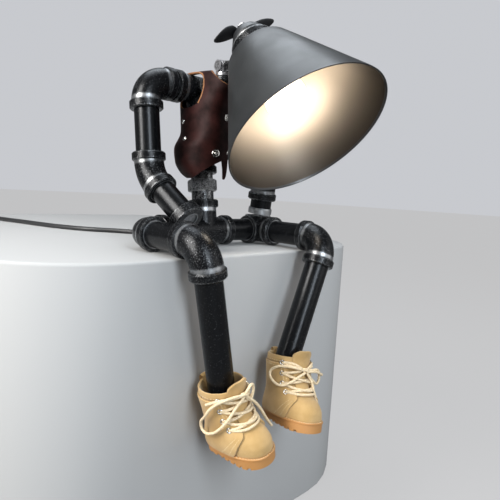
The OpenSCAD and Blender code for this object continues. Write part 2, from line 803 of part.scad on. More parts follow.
module strain_relief() color("#151515") {
    root = bore_r + 0.6;
    translate([0, root, hip_z]) rotate([-90, 0, 0])
        cylinder(r = cord_d / 2 + 2, h = body_r - root + 0.5);
    translate([0, body_r + 0.5, hip_z]) rotate([-90, 0, 0])
        cylinder(r1 = cord_d / 2 + 2, r2 = cord_d / 2 + 0.6, h = relief_len - 2.5);
}

function unit(v) = v / norm(v);
function heading(path, i) = unit(path[min(i + 1, len(path) - 1)] - path[max(i - 1, 0)]);
function across(path, i) = unit(cross([0, 0, 1], heading(path, i)));

// tube of n sides swept along a path
module swept_tube(path, d, n = 8) {
    last = len(path) - 1;
    points = [
        for (i = [0:last], k = [0:n - 1])
            let (side = across(path, i), lift = cross(heading(path, i), side),
                 a = 360 * (k + 0.5) / n)
            path[i] + d / 2 * (cos(a) * side + sin(a) * lift)
    ];
    walls = [
        for (i = [0:last - 1], k = [0:n - 1])
            let (j = (k + 1) % n) [i * n + k, (i + 1) * n + k, (i + 1) * n + j, i * n + j]
    ];
    ends = [[for (k = [0:n - 1]) k], [for (k = [n - 1:-1:0]) last * n + k]];
    polyhedron(points, concat(walls, ends));
}

module cord_tube() color("#151515") swept_tube(CORD, cord_d);

module cord_coil() color("#151515") translate(coil_centre) rotate_extrude()
    translate([2 * coil_r - coil_outer, 0])
        square([coil_turns * cord_d, coil_layers * cord_d]);

// two-pin plug that lies beside the coil, with its pins towards -Y
module plug_body() color("#151515") translate(plug_at) rotate([90, 0, 0]) {
    cylinder(r1 = cord_d / 2 + 0.4, r2 = cord_d / 2 + 2.6, h = 22);
    translate([0, 0, 22]) linear_extrude(34) intersection() {
        square([26, 13.6], center = true);
        circle(d = 27.5);
    }
}

module plug_pins() color("#c4c7cb") translate(plug_at) rotate([90, 0, 0])
    for (s = [-1, 1]) translate([s * 9.2, 0, 56.05]) cylinder(r = 2, h = 19);

pelvis_tee();
right_hip_nipple();
left_hip_nipple();
right_hip_elbow();
left_hip_corner();
right_thigh_pipe();
left_thigh_pipe();
hand_bushing();
waist_nipple();
torso_coupling();
torso_pipe();
shoulder_tee();
right_shoulder_nipple();
left_shoulder_nipple();
left_shoulder_elbow();
left_upper_arm();
left_elbow();
left_forearm_pipe();
left_forearm_coupling();
left_wrist_pipe();
right_shoulder_elbow();
right_upper_arm();
right_elbow();
right_forearm_pipe();
right_hand();
right_knee_elbow();
right_shin_pipe();
right_boot();
right_sole();
left_knee_elbow();
left_shin_pipe();
left_boot();
left_sole();
neck_stub();
neck_elbow();
swivel_fork();
swivel_pin();
head_link();
holder_cap();
shade();
shade_ring();
lampholder();
bulb_base();
bulb_glass();
switch_stem();
switch_handle();
handle_nut();
vest();
strain_relief();
cord_tube();
cord_coil();
plug_body();
plug_pins();
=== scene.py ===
"""Dresses the pipe robot lamp: its finishes, clothes, cord, lights and camera.

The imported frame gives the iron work. This file gives each fitting its finish, and
models the parts that a fitting maker does not make: vest, boots, laces and cord.
All sizes are in millimetres in the classes, and in metres once they reach Blender.
"""

import logging
import math
from dataclasses import dataclass
from enum import Enum
from typing import Callable, Iterable, Optional, Sequence

import bpy
from mathutils import Matrix, Vector, noise


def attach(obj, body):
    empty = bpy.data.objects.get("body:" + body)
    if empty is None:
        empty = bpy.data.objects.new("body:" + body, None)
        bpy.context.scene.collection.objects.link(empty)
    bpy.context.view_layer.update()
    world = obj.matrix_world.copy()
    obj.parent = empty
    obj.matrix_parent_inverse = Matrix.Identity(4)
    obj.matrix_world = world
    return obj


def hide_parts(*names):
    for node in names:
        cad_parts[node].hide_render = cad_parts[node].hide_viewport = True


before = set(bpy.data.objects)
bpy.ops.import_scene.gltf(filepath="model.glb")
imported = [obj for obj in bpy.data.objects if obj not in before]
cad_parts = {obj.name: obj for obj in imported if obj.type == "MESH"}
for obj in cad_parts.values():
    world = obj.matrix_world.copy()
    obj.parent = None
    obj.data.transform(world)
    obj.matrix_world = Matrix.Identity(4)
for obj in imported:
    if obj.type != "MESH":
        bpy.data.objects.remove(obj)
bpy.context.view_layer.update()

MM = 0.001
LOG = logging.getLogger("lamp")
Point = Sequence[float]
Colour = tuple[float, float, float]


# ---------------------------------------------------------------- places


class Limb(Enum):
    """A limb of the robot, each with its own working frame."""

    WORLD = "world"
    LEFT_LEG = "left leg"
    RIGHT_BOOT = "right boot"
    LEFT_BOOT = "left boot"
    HEAD = "head"


@dataclass(frozen=True)
class Stance:
    """The sizes that place each limb, in millimetres and degrees."""

    hip_z: float = 14.2
    hip_half: float = 70.0
    thigh_len: float = 88.0
    right_shin_lean: float = 11.5
    left_shin_lean: float = 22.0
    pin_forward: float = 18.0
    pin_z: float = 159.0
    head_pitch: float = 41.0
    axis_offset: float = 34.5
    plate_drop: float = 28.0
    boot_top: float = 111.0
    toe_in: float = 7.0
    right_toe_up: float = 2.0
    left_toe_up: float = 5.0
    right_boot_roll: float = -1.0
    left_boot_roll: float = 11.0
    # how far the boots' collars stand off the lines of the pipes in them
    right_boot_shift: tuple[float, float, float] = (1, 0.5, 0)
    left_boot_shift: tuple[float, float, float] = (-1.8, -2, 1.5)

    def matrix(self, limb: Limb) -> Matrix:
        """Gives the frame of a limb.

        Args:
            limb: the limb whose frame is wanted.

        Returns:
            The matrix that takes a point of the limb, in millimetres, to the lamp's
            frame, in metres.
        """
        left_leg = self._leg(1, self.left_shin_lean)
        steps: dict[Limb, list[Matrix]] = {
            Limb.WORLD: [],
            Limb.LEFT_LEG: left_leg,
            Limb.RIGHT_BOOT: [
                *self._leg(-1, self.right_shin_lean),
                self._shift(self.right_boot_shift, self.boot_top),
                self._turn(-self.right_boot_roll, "Y"),
                self._turn(-self.right_toe_up, "X"),
                self._turn(self.toe_in, "Z"),
            ],
            Limb.LEFT_BOOT: [
                *left_leg,
                self._shift(self.left_boot_shift, self.boot_top),
                self._turn(-self.left_boot_roll, "Y"),
                self._turn(-self.left_toe_up, "X"),
                self._turn(-self.toe_in, "Z"),
            ],
            Limb.HEAD: [
                self._shift((0, -self.pin_forward, self.pin_z)),
                self._turn(-self.head_pitch, "X"),
                self._shift((0, -self.axis_offset, 0), self.plate_drop),
            ],
        }
        result = Matrix.Scale(MM, 4)
        for step in steps[limb]:
            result = result @ step
        return result

    def _leg(self, side: int, lean: float) -> list[Matrix]:
        """Gives the steps to a lower leg, with side 1 for the left and -1 for the right."""
        knee = (side * self.hip_half, -self.thigh_len, self.hip_z)
        return [self._shift(knee), self._turn(side * lean, "Y")]

    @staticmethod
    def _shift(step: Point, drop: float = 0.0) -> Matrix:
        """Gives the matrix of a shift, with a further drop."""
        return Matrix.Translation((step[0], step[1], step[2] - drop))

    @staticmethod
    def _turn(degrees: float, axis: str) -> Matrix:
        """Gives the matrix of a turn about an axis through the origin."""
        return Matrix.Rotation(math.radians(degrees), 4, axis)


STANCE = Stance()


# ---------------------------------------------------------------- the bench


def slope(start: Sequence[float], end: Sequence[float], column: int) -> float:
    """Gives a column's slope between two stations, or 0 where they are one."""
    run = end[0] - start[0]
    return (end[column] - start[column]) / run if run > 0 else 0.0


def along(table: Sequence[Sequence[float]], at: float) -> list[float]:
    """Reads a table of stations along a smooth line.

    Args:
        table: rows that start with their place, in rising order.
        at: the place that is wanted.

    Returns:
        The other columns there, rounded through the rows, held past the ends.
    """
    rows = [table[0], *table, table[-1]]
    last = len(table) - 2
    spot = min(max(at, table[0][0]), table[-1][0])
    index = min(last, max(0, sum(1 for row in table if row[0] <= spot) - 1))
    before, low, high, after = rows[index : index + 4]
    span = high[0] - low[0]
    part = (spot - low[0]) / span
    values = []
    for column in range(1, len(low)):
        slopes = []
        for left, middle, right in ((before, low, high), (low, high, after)):
            first, second = slope(left, middle, column), slope(middle, right, column)
            level = first * second <= 0
            slopes.append(0.0 if level else 2 * first * second / (first + second))
        square, cube = part * part, part * part * part
        values.append(
            (2 * cube - 3 * square + 1) * low[column]
            + (cube - 2 * square + part) * span * slopes[0]
            + (3 * square - 2 * cube) * high[column]
            + (cube - square) * span * slopes[1]
        )
    return values


def power(value: float, exponent: float) -> float:
    """Raises a number to a power and keeps its sign."""
    return math.copysign(abs(value) ** exponent, value)


def standing(out: Vector) -> Matrix:
    """Gives the turn that stands a piece's Z axis along a direction."""
    return out.to_track_quat("Z", "Y").to_matrix().to_4x4()


class Bench:
    """Short ways to model a piece with Blender's own operators."""

    @staticmethod
    def clear() -> None:
        """Leaves edit mode and deselects everything."""
        if bpy.context.mode != "OBJECT":
            bpy.ops.object.mode_set(mode="OBJECT")
        bpy.ops.object.select_all(action="DESELECT")

    @staticmethod
    def only(piece: bpy.types.Object) -> None:
        """Selects one piece and makes it active.

        Args:
            piece: the object to select.
        """
        Bench.clear()
        piece.select_set(True)
        bpy.context.view_layer.objects.active = piece

    @staticmethod
    def edit(piece: bpy.types.Object) -> None:
        """Opens one piece in edit mode with all of it selected.

        Args:
            piece: the object to edit.
        """
        Bench.only(piece)
        bpy.ops.object.mode_set(mode="EDIT")
        bpy.ops.mesh.select_all(action="SELECT")

    @staticmethod
    def named(name: str) -> bpy.types.Object:
        """Names the active object and gives it back.

        Args:
            name: the new name, also of its mesh.

        Returns:
            The active object.
        """
        piece = bpy.context.object
        piece.name = name
        piece.data.name = name
        return piece

    @staticmethod
    def place(piece: bpy.types.Object, matrix: Matrix) -> bpy.types.Object:
        """Moves a piece's mesh to its place and leaves its object at the origin.

        Args:
            piece: the object whose mesh moves.
            matrix: from the mesh's own frame to the lamp's frame.

        Returns:
            The same object.
        """
        piece.data.transform(matrix @ piece.matrix_basis)
        piece.matrix_basis = Matrix.Identity(4)
        piece.data.update()
        return piece

    @staticmethod
    def apply(piece: bpy.types.Object, kind: str, **settings: object) -> None:
        """Adds a modifier with its settings and applies it.

        Args:
            piece: the object that gets it.
            kind: Blender's name for the modifier type.
            settings: the modifier's properties.
        """
        Bench.only(piece)
        modifier = piece.modifiers.new(kind.lower(), kind)
        for key, value in settings.items():
            setattr(modifier, key, value)
        bpy.ops.object.modifier_apply(modifier=modifier.name)

    @staticmethod
    def bevel(piece: bpy.types.Object, width: float, segments: int, degrees: float) -> None:
        """Rounds a piece's sharp edges.

        Args:
            piece: the object whose edges are rounded.
            width: how far from the edge the round starts.
            segments: the faces across the round.
            degrees: the angle over which an edge is sharp.
        """
        limit = math.radians(degrees)
        Bench.apply(piece, "BEVEL", width=width, segments=segments, limit_method="ANGLE", angle_limit=limit)

    @staticmethod
    def widen(piece: bpy.types.Object, factor: float, middle: Point) -> None:
        """Stretches a strand along X, so that it becomes a tape.

        Args:
            piece: the strand.
            factor: how many times wider it gets.
            middle: the point that stays.
        """
        Bench.edit(piece)
        bpy.ops.transform.resize(value=(factor, 1.0, 1.0), center_override=tuple(middle))
        bpy.ops.object.mode_set(mode="OBJECT")

    @staticmethod
    def tidy(piece: bpy.types.Object, merge: float = 1e-5) -> None:
        """Merges doubled points and turns every face outwards.

        Args:
            piece: the object to clean.
            merge: how near two points are merged, in the mesh's own units.
        """
        Bench.edit(piece)
        bpy.ops.mesh.remove_doubles(threshold=merge)
        bpy.ops.mesh.normals_make_consistent(inside=False)
        bpy.ops.object.mode_set(mode="OBJECT")

    @staticmethod
    def smooth(piece: bpy.types.Object, degrees: float = 35.0) -> None:
        """Shades a piece smooth, with edges sharper than an angle left crisp.

        Args:
            piece: the object to shade.
            degrees: the angle over which an edge stays sharp.
        """
        Bench.only(piece)
        bpy.ops.object.shade_smooth_by_angle(angle=math.radians(degrees))

    @staticmethod
    def outline(name: str, points: Sequence[Point]) -> bpy.types.Object:
        """Draws a chain of edges point by point, as with extrude by hand.

        Args:
            name: the name of the new object.
            points: the corners of the chain.

        Returns:
            The object, still in edit mode, with all of it selected.
        """
        Bench.clear()
        bpy.ops.mesh.primitive_plane_add(size=1.0)
        piece = Bench.named(name)
        bpy.ops.object.mode_set(mode="EDIT")
        bpy.ops.mesh.select_all(action="SELECT")
        bpy.ops.mesh.merge(type="CENTER")
        bpy.ops.transform.translate(value=tuple(points[0]))
        for before, after in zip(points, points[1:]):
            step = tuple(b - a for a, b in zip(before, after))
            bpy.ops.mesh.extrude_region_move(TRANSFORM_OT_translate={"value": step})
        bpy.ops.mesh.select_all(action="SELECT")
        return piece

    @staticmethod
    def lathe(name: str, profile: Sequence[tuple[float, float]], steps: int = 64) -> bpy.types.Object:
        """Turns a profile of radius and height about the Z axis.

        Args:
            name: the name of the new object.
            profile: pairs of radius and height, closed by the axis or in itself.
            steps: the number of faces round it.

        Returns:
            The turned piece.
        """
        piece = Bench.outline(name, [(r, 0.0, z) for r, z in profile])
        bpy.ops.mesh.spin(steps=steps, angle=math.tau, center=(0, 0, 0), axis=(0, 0, 1))
        bpy.ops.object.mode_set(mode="OBJECT")
        Bench.tidy(piece, 1e-4)
        return piece

    @staticmethod
    def prism(name: str, points: Sequence[Point], depth: Point) -> bpy.types.Object:
        """Fills an outline and pulls it out into a solid.

        Args:
            name: the name of the new object.
            points: the outline's corners.
            depth: the way and distance that it is pulled.

        Returns:
            The solid.
        """
        piece = Bench.outline(name, points)
        bpy.ops.mesh.edge_face_add()
        bpy.ops.mesh.extrude_region_move(TRANSFORM_OT_translate={"value": tuple(depth)})
        bpy.ops.object.mode_set(mode="OBJECT")
        Bench.tidy(piece)
        return piece

    @staticmethod
    def mapped(
        name: str, across: int, up: int, place: Callable[[float, float], Point]
    ) -> bpy.types.Object:
        """Lays a grid over a surface, as cloth over a last.

        Args:
            name: the name of the new object.
            across: the number of faces in u.
            up: the number of faces in v.
            place: gives the point for u and v, each from 0 to 1.

        Returns:
            The sheet, with u and v as its UV map.
        """
        Bench.clear()
        bpy.ops.mesh.primitive_grid_add(x_subdivisions=across, y_subdivisions=up, size=2.0)
        piece = Bench.named(name)
        for vertex in piece.data.vertices:
            vertex.co = Vector(place(vertex.co.x / 2 + 0.5, vertex.co.y / 2 + 0.5))
        return piece

    @staticmethod
    def wire(
        name: str, points: Sequence[Point], radius: float, sides: int, steps: int = 6
    ) -> bpy.types.Object:
        """Bends a round wire along a smooth line.

        Args:
            name: the name of the new object.
            points: the line that it follows.
            radius: half of its thickness.
            sides: faces in a quarter turn, as a curve's bevel resolution.
            steps: the lengths between two points of the line.

        Returns:
            The wire, which is still a curve.
        """
        curve = bpy.data.curves.new(name, "CURVE")
        curve.dimensions = "3D"
        curve.resolution_u = steps
        curve.bevel_depth = radius
        curve.bevel_resolution = sides
        curve.use_fill_caps = True
        spline = curve.splines.new("BEZIER")
        spline.bezier_points.add(len(points) - 1)
        for knot, point in zip(spline.bezier_points, points):
            knot.co = point
            knot.handle_left_type = knot.handle_right_type = "AUTO"
        piece = bpy.data.objects.new(name, curve)
        bpy.context.collection.objects.link(piece)
        return piece

    @staticmethod
    def strand(name: str, points: Sequence[Point], radius: float, sides: int) -> bpy.types.Object:
        """Makes a wire and turns it into a mesh.

        Args:
            name: the name of the new object.
            points: the line that it follows.
            radius: half of its thickness.
            sides: faces in a quarter turn, as a curve's bevel resolution.

        Returns:
            The strand as a mesh.
        """
        Bench.only(Bench.wire(name, points, radius, sides))
        bpy.ops.object.convert(target="MESH")
        return Bench.named(name)

    @staticmethod
    def join(name: str, parts: Sequence[bpy.types.Object]) -> bpy.types.Object:
        """Joins parts into one piece.

        Args:
            name: the name of the piece.
            parts: the objects to join.

        Returns:
            The joined object.
        """
        Bench.clear()
        for part in parts:
            part.select_set(True)
        bpy.context.view_layer.objects.active = parts[0]
        bpy.ops.object.join()
        return Bench.named(name)


# ---------------------------------------------------------------- node graphs


class Graph:
    """A node tree with short ways to add and join nodes."""

    def __init__(self, tree: bpy.types.NodeTree) -> None:
        """Starts on a tree.

        Args:
            tree: the material's or group's own tree.
        """
        self.tree = tree

    def node(self, kind: str, values: Optional[dict] = None, **settings: object) -> bpy.types.Node:
        """Adds a node.

        Args:
            kind: the node's type, without the ShaderNode in front.
            values: socket names with a value, or a socket to link from.
            settings: the node's own properties.

        Returns:
            The new node.
        """
        made = self.tree.nodes.new(kind if kind.startswith("Node") else "ShaderNode" + kind)
        for key, value in settings.items():
            setattr(made, key, value)
        for key, value in (values or {}).items():
            self.feed(made.inputs[key], value)
        return made

    def feed(self, socket: bpy.types.NodeSocket, value: object) -> None:
        """Sets a socket to a value, or links another socket to it.

        Args:
            socket: the input.
            value: a number, a colour or an output socket.
        """
        if isinstance(value, bpy.types.NodeSocket):
            self.tree.links.new(value, socket)
        elif isinstance(value, tuple) and len(value) == 3 and socket.type == "RGBA":
            socket.default_value = (*value, 1.0)
        else:
            socket.default_value = value

    def fill(self, node: bpy.types.Node, **values: object) -> None:
        """Feeds several inputs of a node.

        Args:
            node: the node.
            values: input names with their values; an underscore stands for a space.
        """
        for name, value in values.items():
            self.feed(node.inputs[name.replace("_", " ")], value)

    def noise(
        self, where: object, scale: float, detail: float = 3.0, rough: float = 0.55
    ) -> bpy.types.NodeSocket:
        """Gives a noise value from 0 to 1 at a place.

        Args:
            where: the vector to read it at.
            scale: its waves in a metre.
            detail: its octaves.
            rough: how strong the finer octaves are.

        Returns:
            The noise as an output socket.
        """
        values = {"Vector": where, "Scale": scale, "Detail": detail, "Roughness": rough}
        return self.node("TexNoise", values).outputs["Fac"]

    def spread(
        self, value: object, low: float, high: float, out_low: float = 0.0, out_high: float = 1.0
    ) -> bpy.types.NodeSocket:
        """Maps a span of a value smoothly to another, and holds it at the ends.

        Args:
            value: the number that is mapped.
            low: where the span starts.
            high: where the span ends.
            out_low: what the start becomes.
            out_high: what the end becomes.

        Returns:
            The mapped value.
        """
        values = {
            "Value": value,
            "From Min": low,
            "From Max": high,
            "To Min": out_low,
            "To Max": out_high,
        }
        return self.node("MapRange", values, interpolation_type="SMOOTHSTEP").outputs["Result"]

    def math(self, operation: str, first: object, second: object) -> bpy.types.NodeSocket:
        """Works out one operation on numbers, and holds a sum from 0 to 1.

        Args:
            operation: Blender's name for it.
            first: the first number.
            second: the second number.

        Returns:
            The result.
        """
        made = self.node("Math", {0: first, 1: second}, operation=operation)
        made.use_clamp = operation == "ADD"
        return made.outputs[0]

    def blend(self, factor: object, first: object, second: object) -> bpy.types.NodeSocket:
        """Mixes two colours.

        Args:
            factor: 0 gives the first, 1 the second.
            first: the first colour.
            second: the second colour.

        Returns:
            The mixed colour.
        """
        made = self.node("Mix", {"Factor": factor, 6: first, 7: second}, data_type="RGBA")
        return made.outputs[2]

    def where(self) -> bpy.types.NodeSocket:
        """Gives the object coordinates."""
        return self.node("TexCoord").outputs["Object"]


@dataclass(frozen=True)
class Effect:
    """A shader node group with named inputs and outputs, made once.

    Attributes:
        name: the group's name.
        inputs: each input with its starting value.
        outputs: each output's name.
    """

    name: str
    inputs: tuple[tuple[str, float], ...]
    outputs: tuple[str, ...]

    def tree(self) -> bpy.types.NodeTree:
        """Gives the group's tree, and builds it the first time.

        Returns:
            The node tree of the group.
        """
        found = bpy.data.node_groups.get(self.name)
        if found:
            return found
        tree = bpy.data.node_groups.new(self.name, "ShaderNodeTree")
        for name, value in self.inputs:
            socket = tree.interface.new_socket(name, in_out="INPUT", socket_type="NodeSocketFloat")
            socket.default_value = value
        for name in self.outputs:
            tree.interface.new_socket(name, in_out="OUTPUT", socket_type="NodeSocketFloat")
        graph = Graph(tree)
        entry = graph.node("NodeGroupInput")
        leave = graph.node("NodeGroupOutput")
        self.wire(graph, {name: entry.outputs[name] for name, _ in self.inputs}, leave)
        return tree

    def wire(
        self, graph: Graph, given: dict[str, bpy.types.NodeSocket], leave: bpy.types.Node
    ) -> None:
        """Joins the group's nodes.

        Args:
            graph: the group's graph.
            given: the group's inputs by name.
            leave: the node whose inputs are the group's outputs.
        """
        raise NotImplementedError

    def use(self, graph: Graph, **values: object) -> bpy.types.Node:
        """Places the group in a material.

        Args:
            graph: the material's graph.
            values: input names with their values; an underscore stands for a space.

        Returns:
            The group node.
        """
        made = graph.node("Group")
        made.node_tree = self.tree()
        graph.fill(made, **values)
        return made


class EdgeWear(Effect):
    """Worn outer edges: metal shows where hands and cloth rub the paint off."""

    def __init__(self) -> None:
        """Names the group's sockets."""
        inputs = (("Width", 0.0012), ("Grit Scale", 650.0), ("Amount", 1.0))
        super().__init__("edge wear", inputs, ("Mask",))

    def wire(
        self, graph: Graph, given: dict[str, bpy.types.NodeSocket], leave: bpy.types.Node
    ) -> None:
        """Joins the group's nodes.

        Args:
            graph: the group's graph.
            given: the group's inputs by name.
            leave: the node whose inputs are the group's outputs.
        """
        inside = graph.node("AmbientOcclusion", {"Distance": given["Width"]}, samples=8)
        inside.inside = True
        inside.only_local = True
        edge = graph.spread(inside.outputs["AO"], 0.97, 0.55)
        grit = graph.noise(graph.where(), given["Grit Scale"], 3.0, 0.6)
        total = graph.node("Math", {0: edge, 1: grit}, operation="ADD").outputs[0]
        broken = graph.spread(total, 0.92, 1.5)
        worn = graph.math("MULTIPLY", graph.math("MULTIPLY", broken, edge), given["Amount"])
        graph.fill(leave, Mask=worn)


class DryBrush(Effect):
    """Silver dry-brushed over the high grains of a rough casting."""

    def __init__(self) -> None:
        """Names the group's sockets."""
        inputs = (("Grain Scale", 700.0), ("Patch Scale", 38.0), ("Amount", 0.5))
        super().__init__("dry brush", inputs, ("Mask", "Height"))

    def wire(
        self, graph: Graph, given: dict[str, bpy.types.NodeSocket], leave: bpy.types.Node
    ) -> None:
        """Joins the group's nodes.

        Args:
            graph: the group's graph.
            given: the group's inputs by name.
            leave: the node whose inputs are the group's outputs.
        """
        where = graph.where()
        grain = graph.noise(where, given["Grain Scale"], 4.0, 0.62)
        patch = graph.spread(graph.noise(where, given["Patch Scale"], 2.0, 0.5), 0.35, 0.68)
        level = graph.math("MULTIPLY", given["Amount"], graph.math("ADD", patch, 0.35))
        lifted = graph.math("ADD", grain, graph.math("MULTIPLY", level, 0.3))
        graph.fill(leave, Mask=graph.spread(lifted, 0.58, 0.84), Height=grain)


class HideGrain(Effect):
    """Leather grain: fine cells, and the slow change of tone of a hide."""

    def __init__(self) -> None:
        """Names the group's sockets."""
        super().__init__("hide grain", (("Cell Scale", 900.0), ("Tone Scale", 60.0)), ("Tone", "Height"))

    def wire(
        self, graph: Graph, given: dict[str, bpy.types.NodeSocket], leave: bpy.types.Node
    ) -> None:
        """Joins the group's nodes.

        Args:
            graph: the group's graph.
            given: the group's inputs by name.
            leave: the node whose inputs are the group's outputs.
        """
        where = graph.where()
        cells = graph.node("TexVoronoi", {"Vector": where, "Scale": given["Cell Scale"]})
        fine = graph.noise(where, given["Cell Scale"], 3.0, 0.6)
        height = graph.math("ADD", graph.math("MULTIPLY", cells.outputs["Distance"], 0.6), fine)
        tone = graph.noise(where, given["Tone Scale"], 4.0, 0.6)
        graph.fill(leave, Tone=graph.spread(tone, 0.3, 0.7), Height=height)


EDGE_WEAR = EdgeWear()
DRY_BRUSH = DryBrush()
HIDE_GRAIN = HideGrain()


# ---------------------------------------------------------------- finishes


def blank(name: str) -> tuple[bpy.types.Material, Graph, bpy.types.Node]:
    """Makes a material with nodes.

    Args:
        name: its name.

    Returns:
        The material, its graph and its Principled BSDF.
    """
    made = bpy.data.materials.new(name)
    made.use_nodes = True
    return made, Graph(made.node_tree), made.node_tree.nodes["Principled BSDF"]


@dataclass(frozen=True)
class Finish:
    """A surface finish that becomes a material when it is first used.

    Attributes:
        name: the material's name.
        slot: the record's material slot that it belongs to; not used.
    """

    name: str
    slot: str

    def material(self) -> bpy.types.Material:
        """Gives the finish's material, and builds it the first time.

        Returns:
            The material.
        """
        found = bpy.data.materials.get("finish " + self.name)
        if found:
            return found
        made, graph, shader = blank("finish " + self.name)
        self.paint(graph, shader)
        return made

    def paint(self, graph: Graph, shader: bpy.types.Node) -> None:
        """Joins the nodes that feed the shader.

        Args:
            graph: the material's graph.
            shader: its Principled BSDF.
        """
        raise NotImplementedError

    @staticmethod
    def bump(
        graph: Graph, shader: bpy.types.Node, height: object, strength: float, distance: float
    ) -> None:
        """Adds a bump to a shader's normal.

        Args:
            graph: the material's graph.
            shader: its Principled BSDF.
            height: the height value.
            strength: how strongly it acts.
            distance: the real height of the bump in metres.
        """
        bump = graph.node("Bump", {"Height": height, "Strength": strength, "Distance": distance})
        graph.fill(shader, Normal=bump.outputs["Normal"])


@dataclass(frozen=True)
class Iron(Finish):
    """Black malleable iron or pipe, with silver flecks and edges rubbed bare."""

    black: Colour = (0.005, 0.0055, 0.0065)
    silver: Colour = (0.44, 0.45, 0.46)
    fleck: float = 0.42
    brushed: float = 0.2
    grain_scale: float = 980.0
    worn: float = 1.0
    gloss: float = 0.27
    relief: float = 0.00026
    bare_gloss: float = 0.34
    shine: float = 0.38
    wear_width: float = 0.0022

    def paint(self, graph: Graph, shader: bpy.types.Node) -> None:
        """Joins the nodes that feed the shader.

        Args:
            graph: the material's graph.
            shader: its Principled BSDF.
        """
        brush = DRY_BRUSH.use(graph, Grain_Scale=self.grain_scale, Amount=self.brushed)
        edge = EDGE_WEAR.use(graph, Amount=self.worn, Width=self.wear_width)
        flecks, rubbed = brush.outputs["Mask"], edge.outputs["Mask"]
        bare = graph.math("MAXIMUM", flecks, rubbed)
        flecked = graph.blend(flecks, self.black, tuple(c * self.fleck for c in self.silver))
        graph.fill(
            shader,
            Base_Color=graph.blend(rubbed, flecked, self.silver),
            Metallic=graph.spread(bare, 0.0, 1.0, 0.5, 0.95),
            Roughness=graph.spread(bare, 0.0, 1.0, self.gloss, self.bare_gloss),
            Specular_IOR_Level=self.shine,
        )
        self.bump(graph, shader, brush.outputs["Height"], 0.55, self.relief)


@dataclass(frozen=True)
class Paint(Finish):
    """A plain coat on metal or plastic, with a fine texture and a little edge wear."""

    colour: Colour = (0.06, 0.07, 0.07)
    under: Colour = (0.3, 0.3, 0.31)
    rough: float = 0.5
    metallic: float = 0.0
    texture_scale: float = 1800.0
    relief: float = 0.00003
    worn: float = 0.4

    def paint(self, graph: Graph, shader: bpy.types.Node) -> None:
        """Joins the nodes that feed the shader.

        Args:
            graph: the material's graph.
            shader: its Principled BSDF.
        """
        where = graph.where()
        powder = graph.noise(where, self.texture_scale, 2.0, 0.5)
        tone = graph.noise(where, 35.0, 3.0, 0.55)
        edge = EDGE_WEAR.use(graph, Amount=self.worn, Width=0.0007).outputs["Mask"]
        dark = tuple(c * 0.82 for c in self.colour)
        coat = graph.blend(tone, dark, self.colour)
        colour = graph.blend(edge, coat, self.under)
        rough = graph.spread(tone, 0.3, 0.7, self.rough - 0.06, self.rough + 0.06)
        graph.fill(shader, Base_Color=colour, Roughness=rough, Metallic=self.metallic)
        self.bump(graph, shader, powder, 0.5, self.relief)


@dataclass(frozen=True)
class Glow(Finish):
    """Satin metal inside the shade, with the bulb's light painted on: lighter near the bulb, and darker
    towards the mouth as painted shade.
    """

    colour: Colour = (0.4, 0.35, 0.29)
    # mouth is the painted shade at the mouth, where the bulb's light has fallen off; mouth_at and back_at
    # are where along the axis that painted falloff ends and starts
    mouth: Colour = (0.04, 0.031, 0.023)
    mouth_at: float = 0.088
    back_at: float = 0.028
    metal: float = 0.75

    def paint(self, graph: Graph, shader: bpy.types.Node) -> None:
        """Joins the nodes that feed the shader.

        Args:
            graph: the material's graph.
            shader: its Principled BSDF.
        """
        where = graph.where()
        fine = graph.noise(where, 1500.0, 2.0, 0.5)
        tone = graph.noise(where, 30.0, 2.0, 0.5)
        head = STANCE.matrix(Limb.HEAD)
        axis = (head.to_3x3() @ Vector((0, 0, 1))).normalized()
        top = axis.dot(head.translation)
        along_axis = graph.node("VectorMath", {0: where, 1: tuple(axis)}, operation="DOT_PRODUCT")
        # painted light: 1 deep inside by the bulb, falling to 0 at the mouth as painted shade
        deep = graph.spread(along_axis.outputs["Value"], top - self.mouth_at, top - self.back_at)
        dark = tuple(c * 0.88 for c in self.colour)
        painted_lit_tone = graph.blend(tone, dark, self.colour)
        colour = graph.blend(deep, self.mouth, painted_lit_tone)
        rough = graph.spread(tone, 0.3, 0.7, 0.46, 0.54)
        graph.fill(shader, Base_Color=colour, Roughness=rough, Metallic=self.metal)
        self.bump(graph, shader, fine, 0.4, 0.00002)


@dataclass(frozen=True)
class Lit(Finish):
    """Frosted glass of a bulb that is switched on."""

    light: Colour = (1.0, 0.9, 0.77)
    glass: Colour = (0.9, 0.88, 0.84)
    strength: float = 20.0
    seen: float = 2.2
    rim: float = 0.42

    def paint(self, graph: Graph, shader: bpy.types.Node) -> None:
        """Joins the nodes that feed the shader.

        Args:
            graph: the material's graph.
            shader: its Principled BSDF.
        """
        cloud = graph.noise(graph.where(), 60.0, 2.0, 0.5)
        warm = tuple(c * 0.93 for c in self.light)
        edge = graph.node("LayerWeight", {"Blend": 0.35}).outputs["Facing"]
        rim = tuple(c * self.rim for c in self.light)
        glow = graph.blend(graph.spread(edge, 0.1, 0.85), graph.blend(cloud, warm, self.light), rim)
        camera = graph.node("LightPath").outputs["Is Camera Ray"]
        strength = graph.spread(camera, 0.0, 1.0, self.strength, self.seen)
        graph.fill(
            shader, Base_Color=self.glass, Roughness=0.3, Emission_Color=glow, Emission_Strength=strength
        )


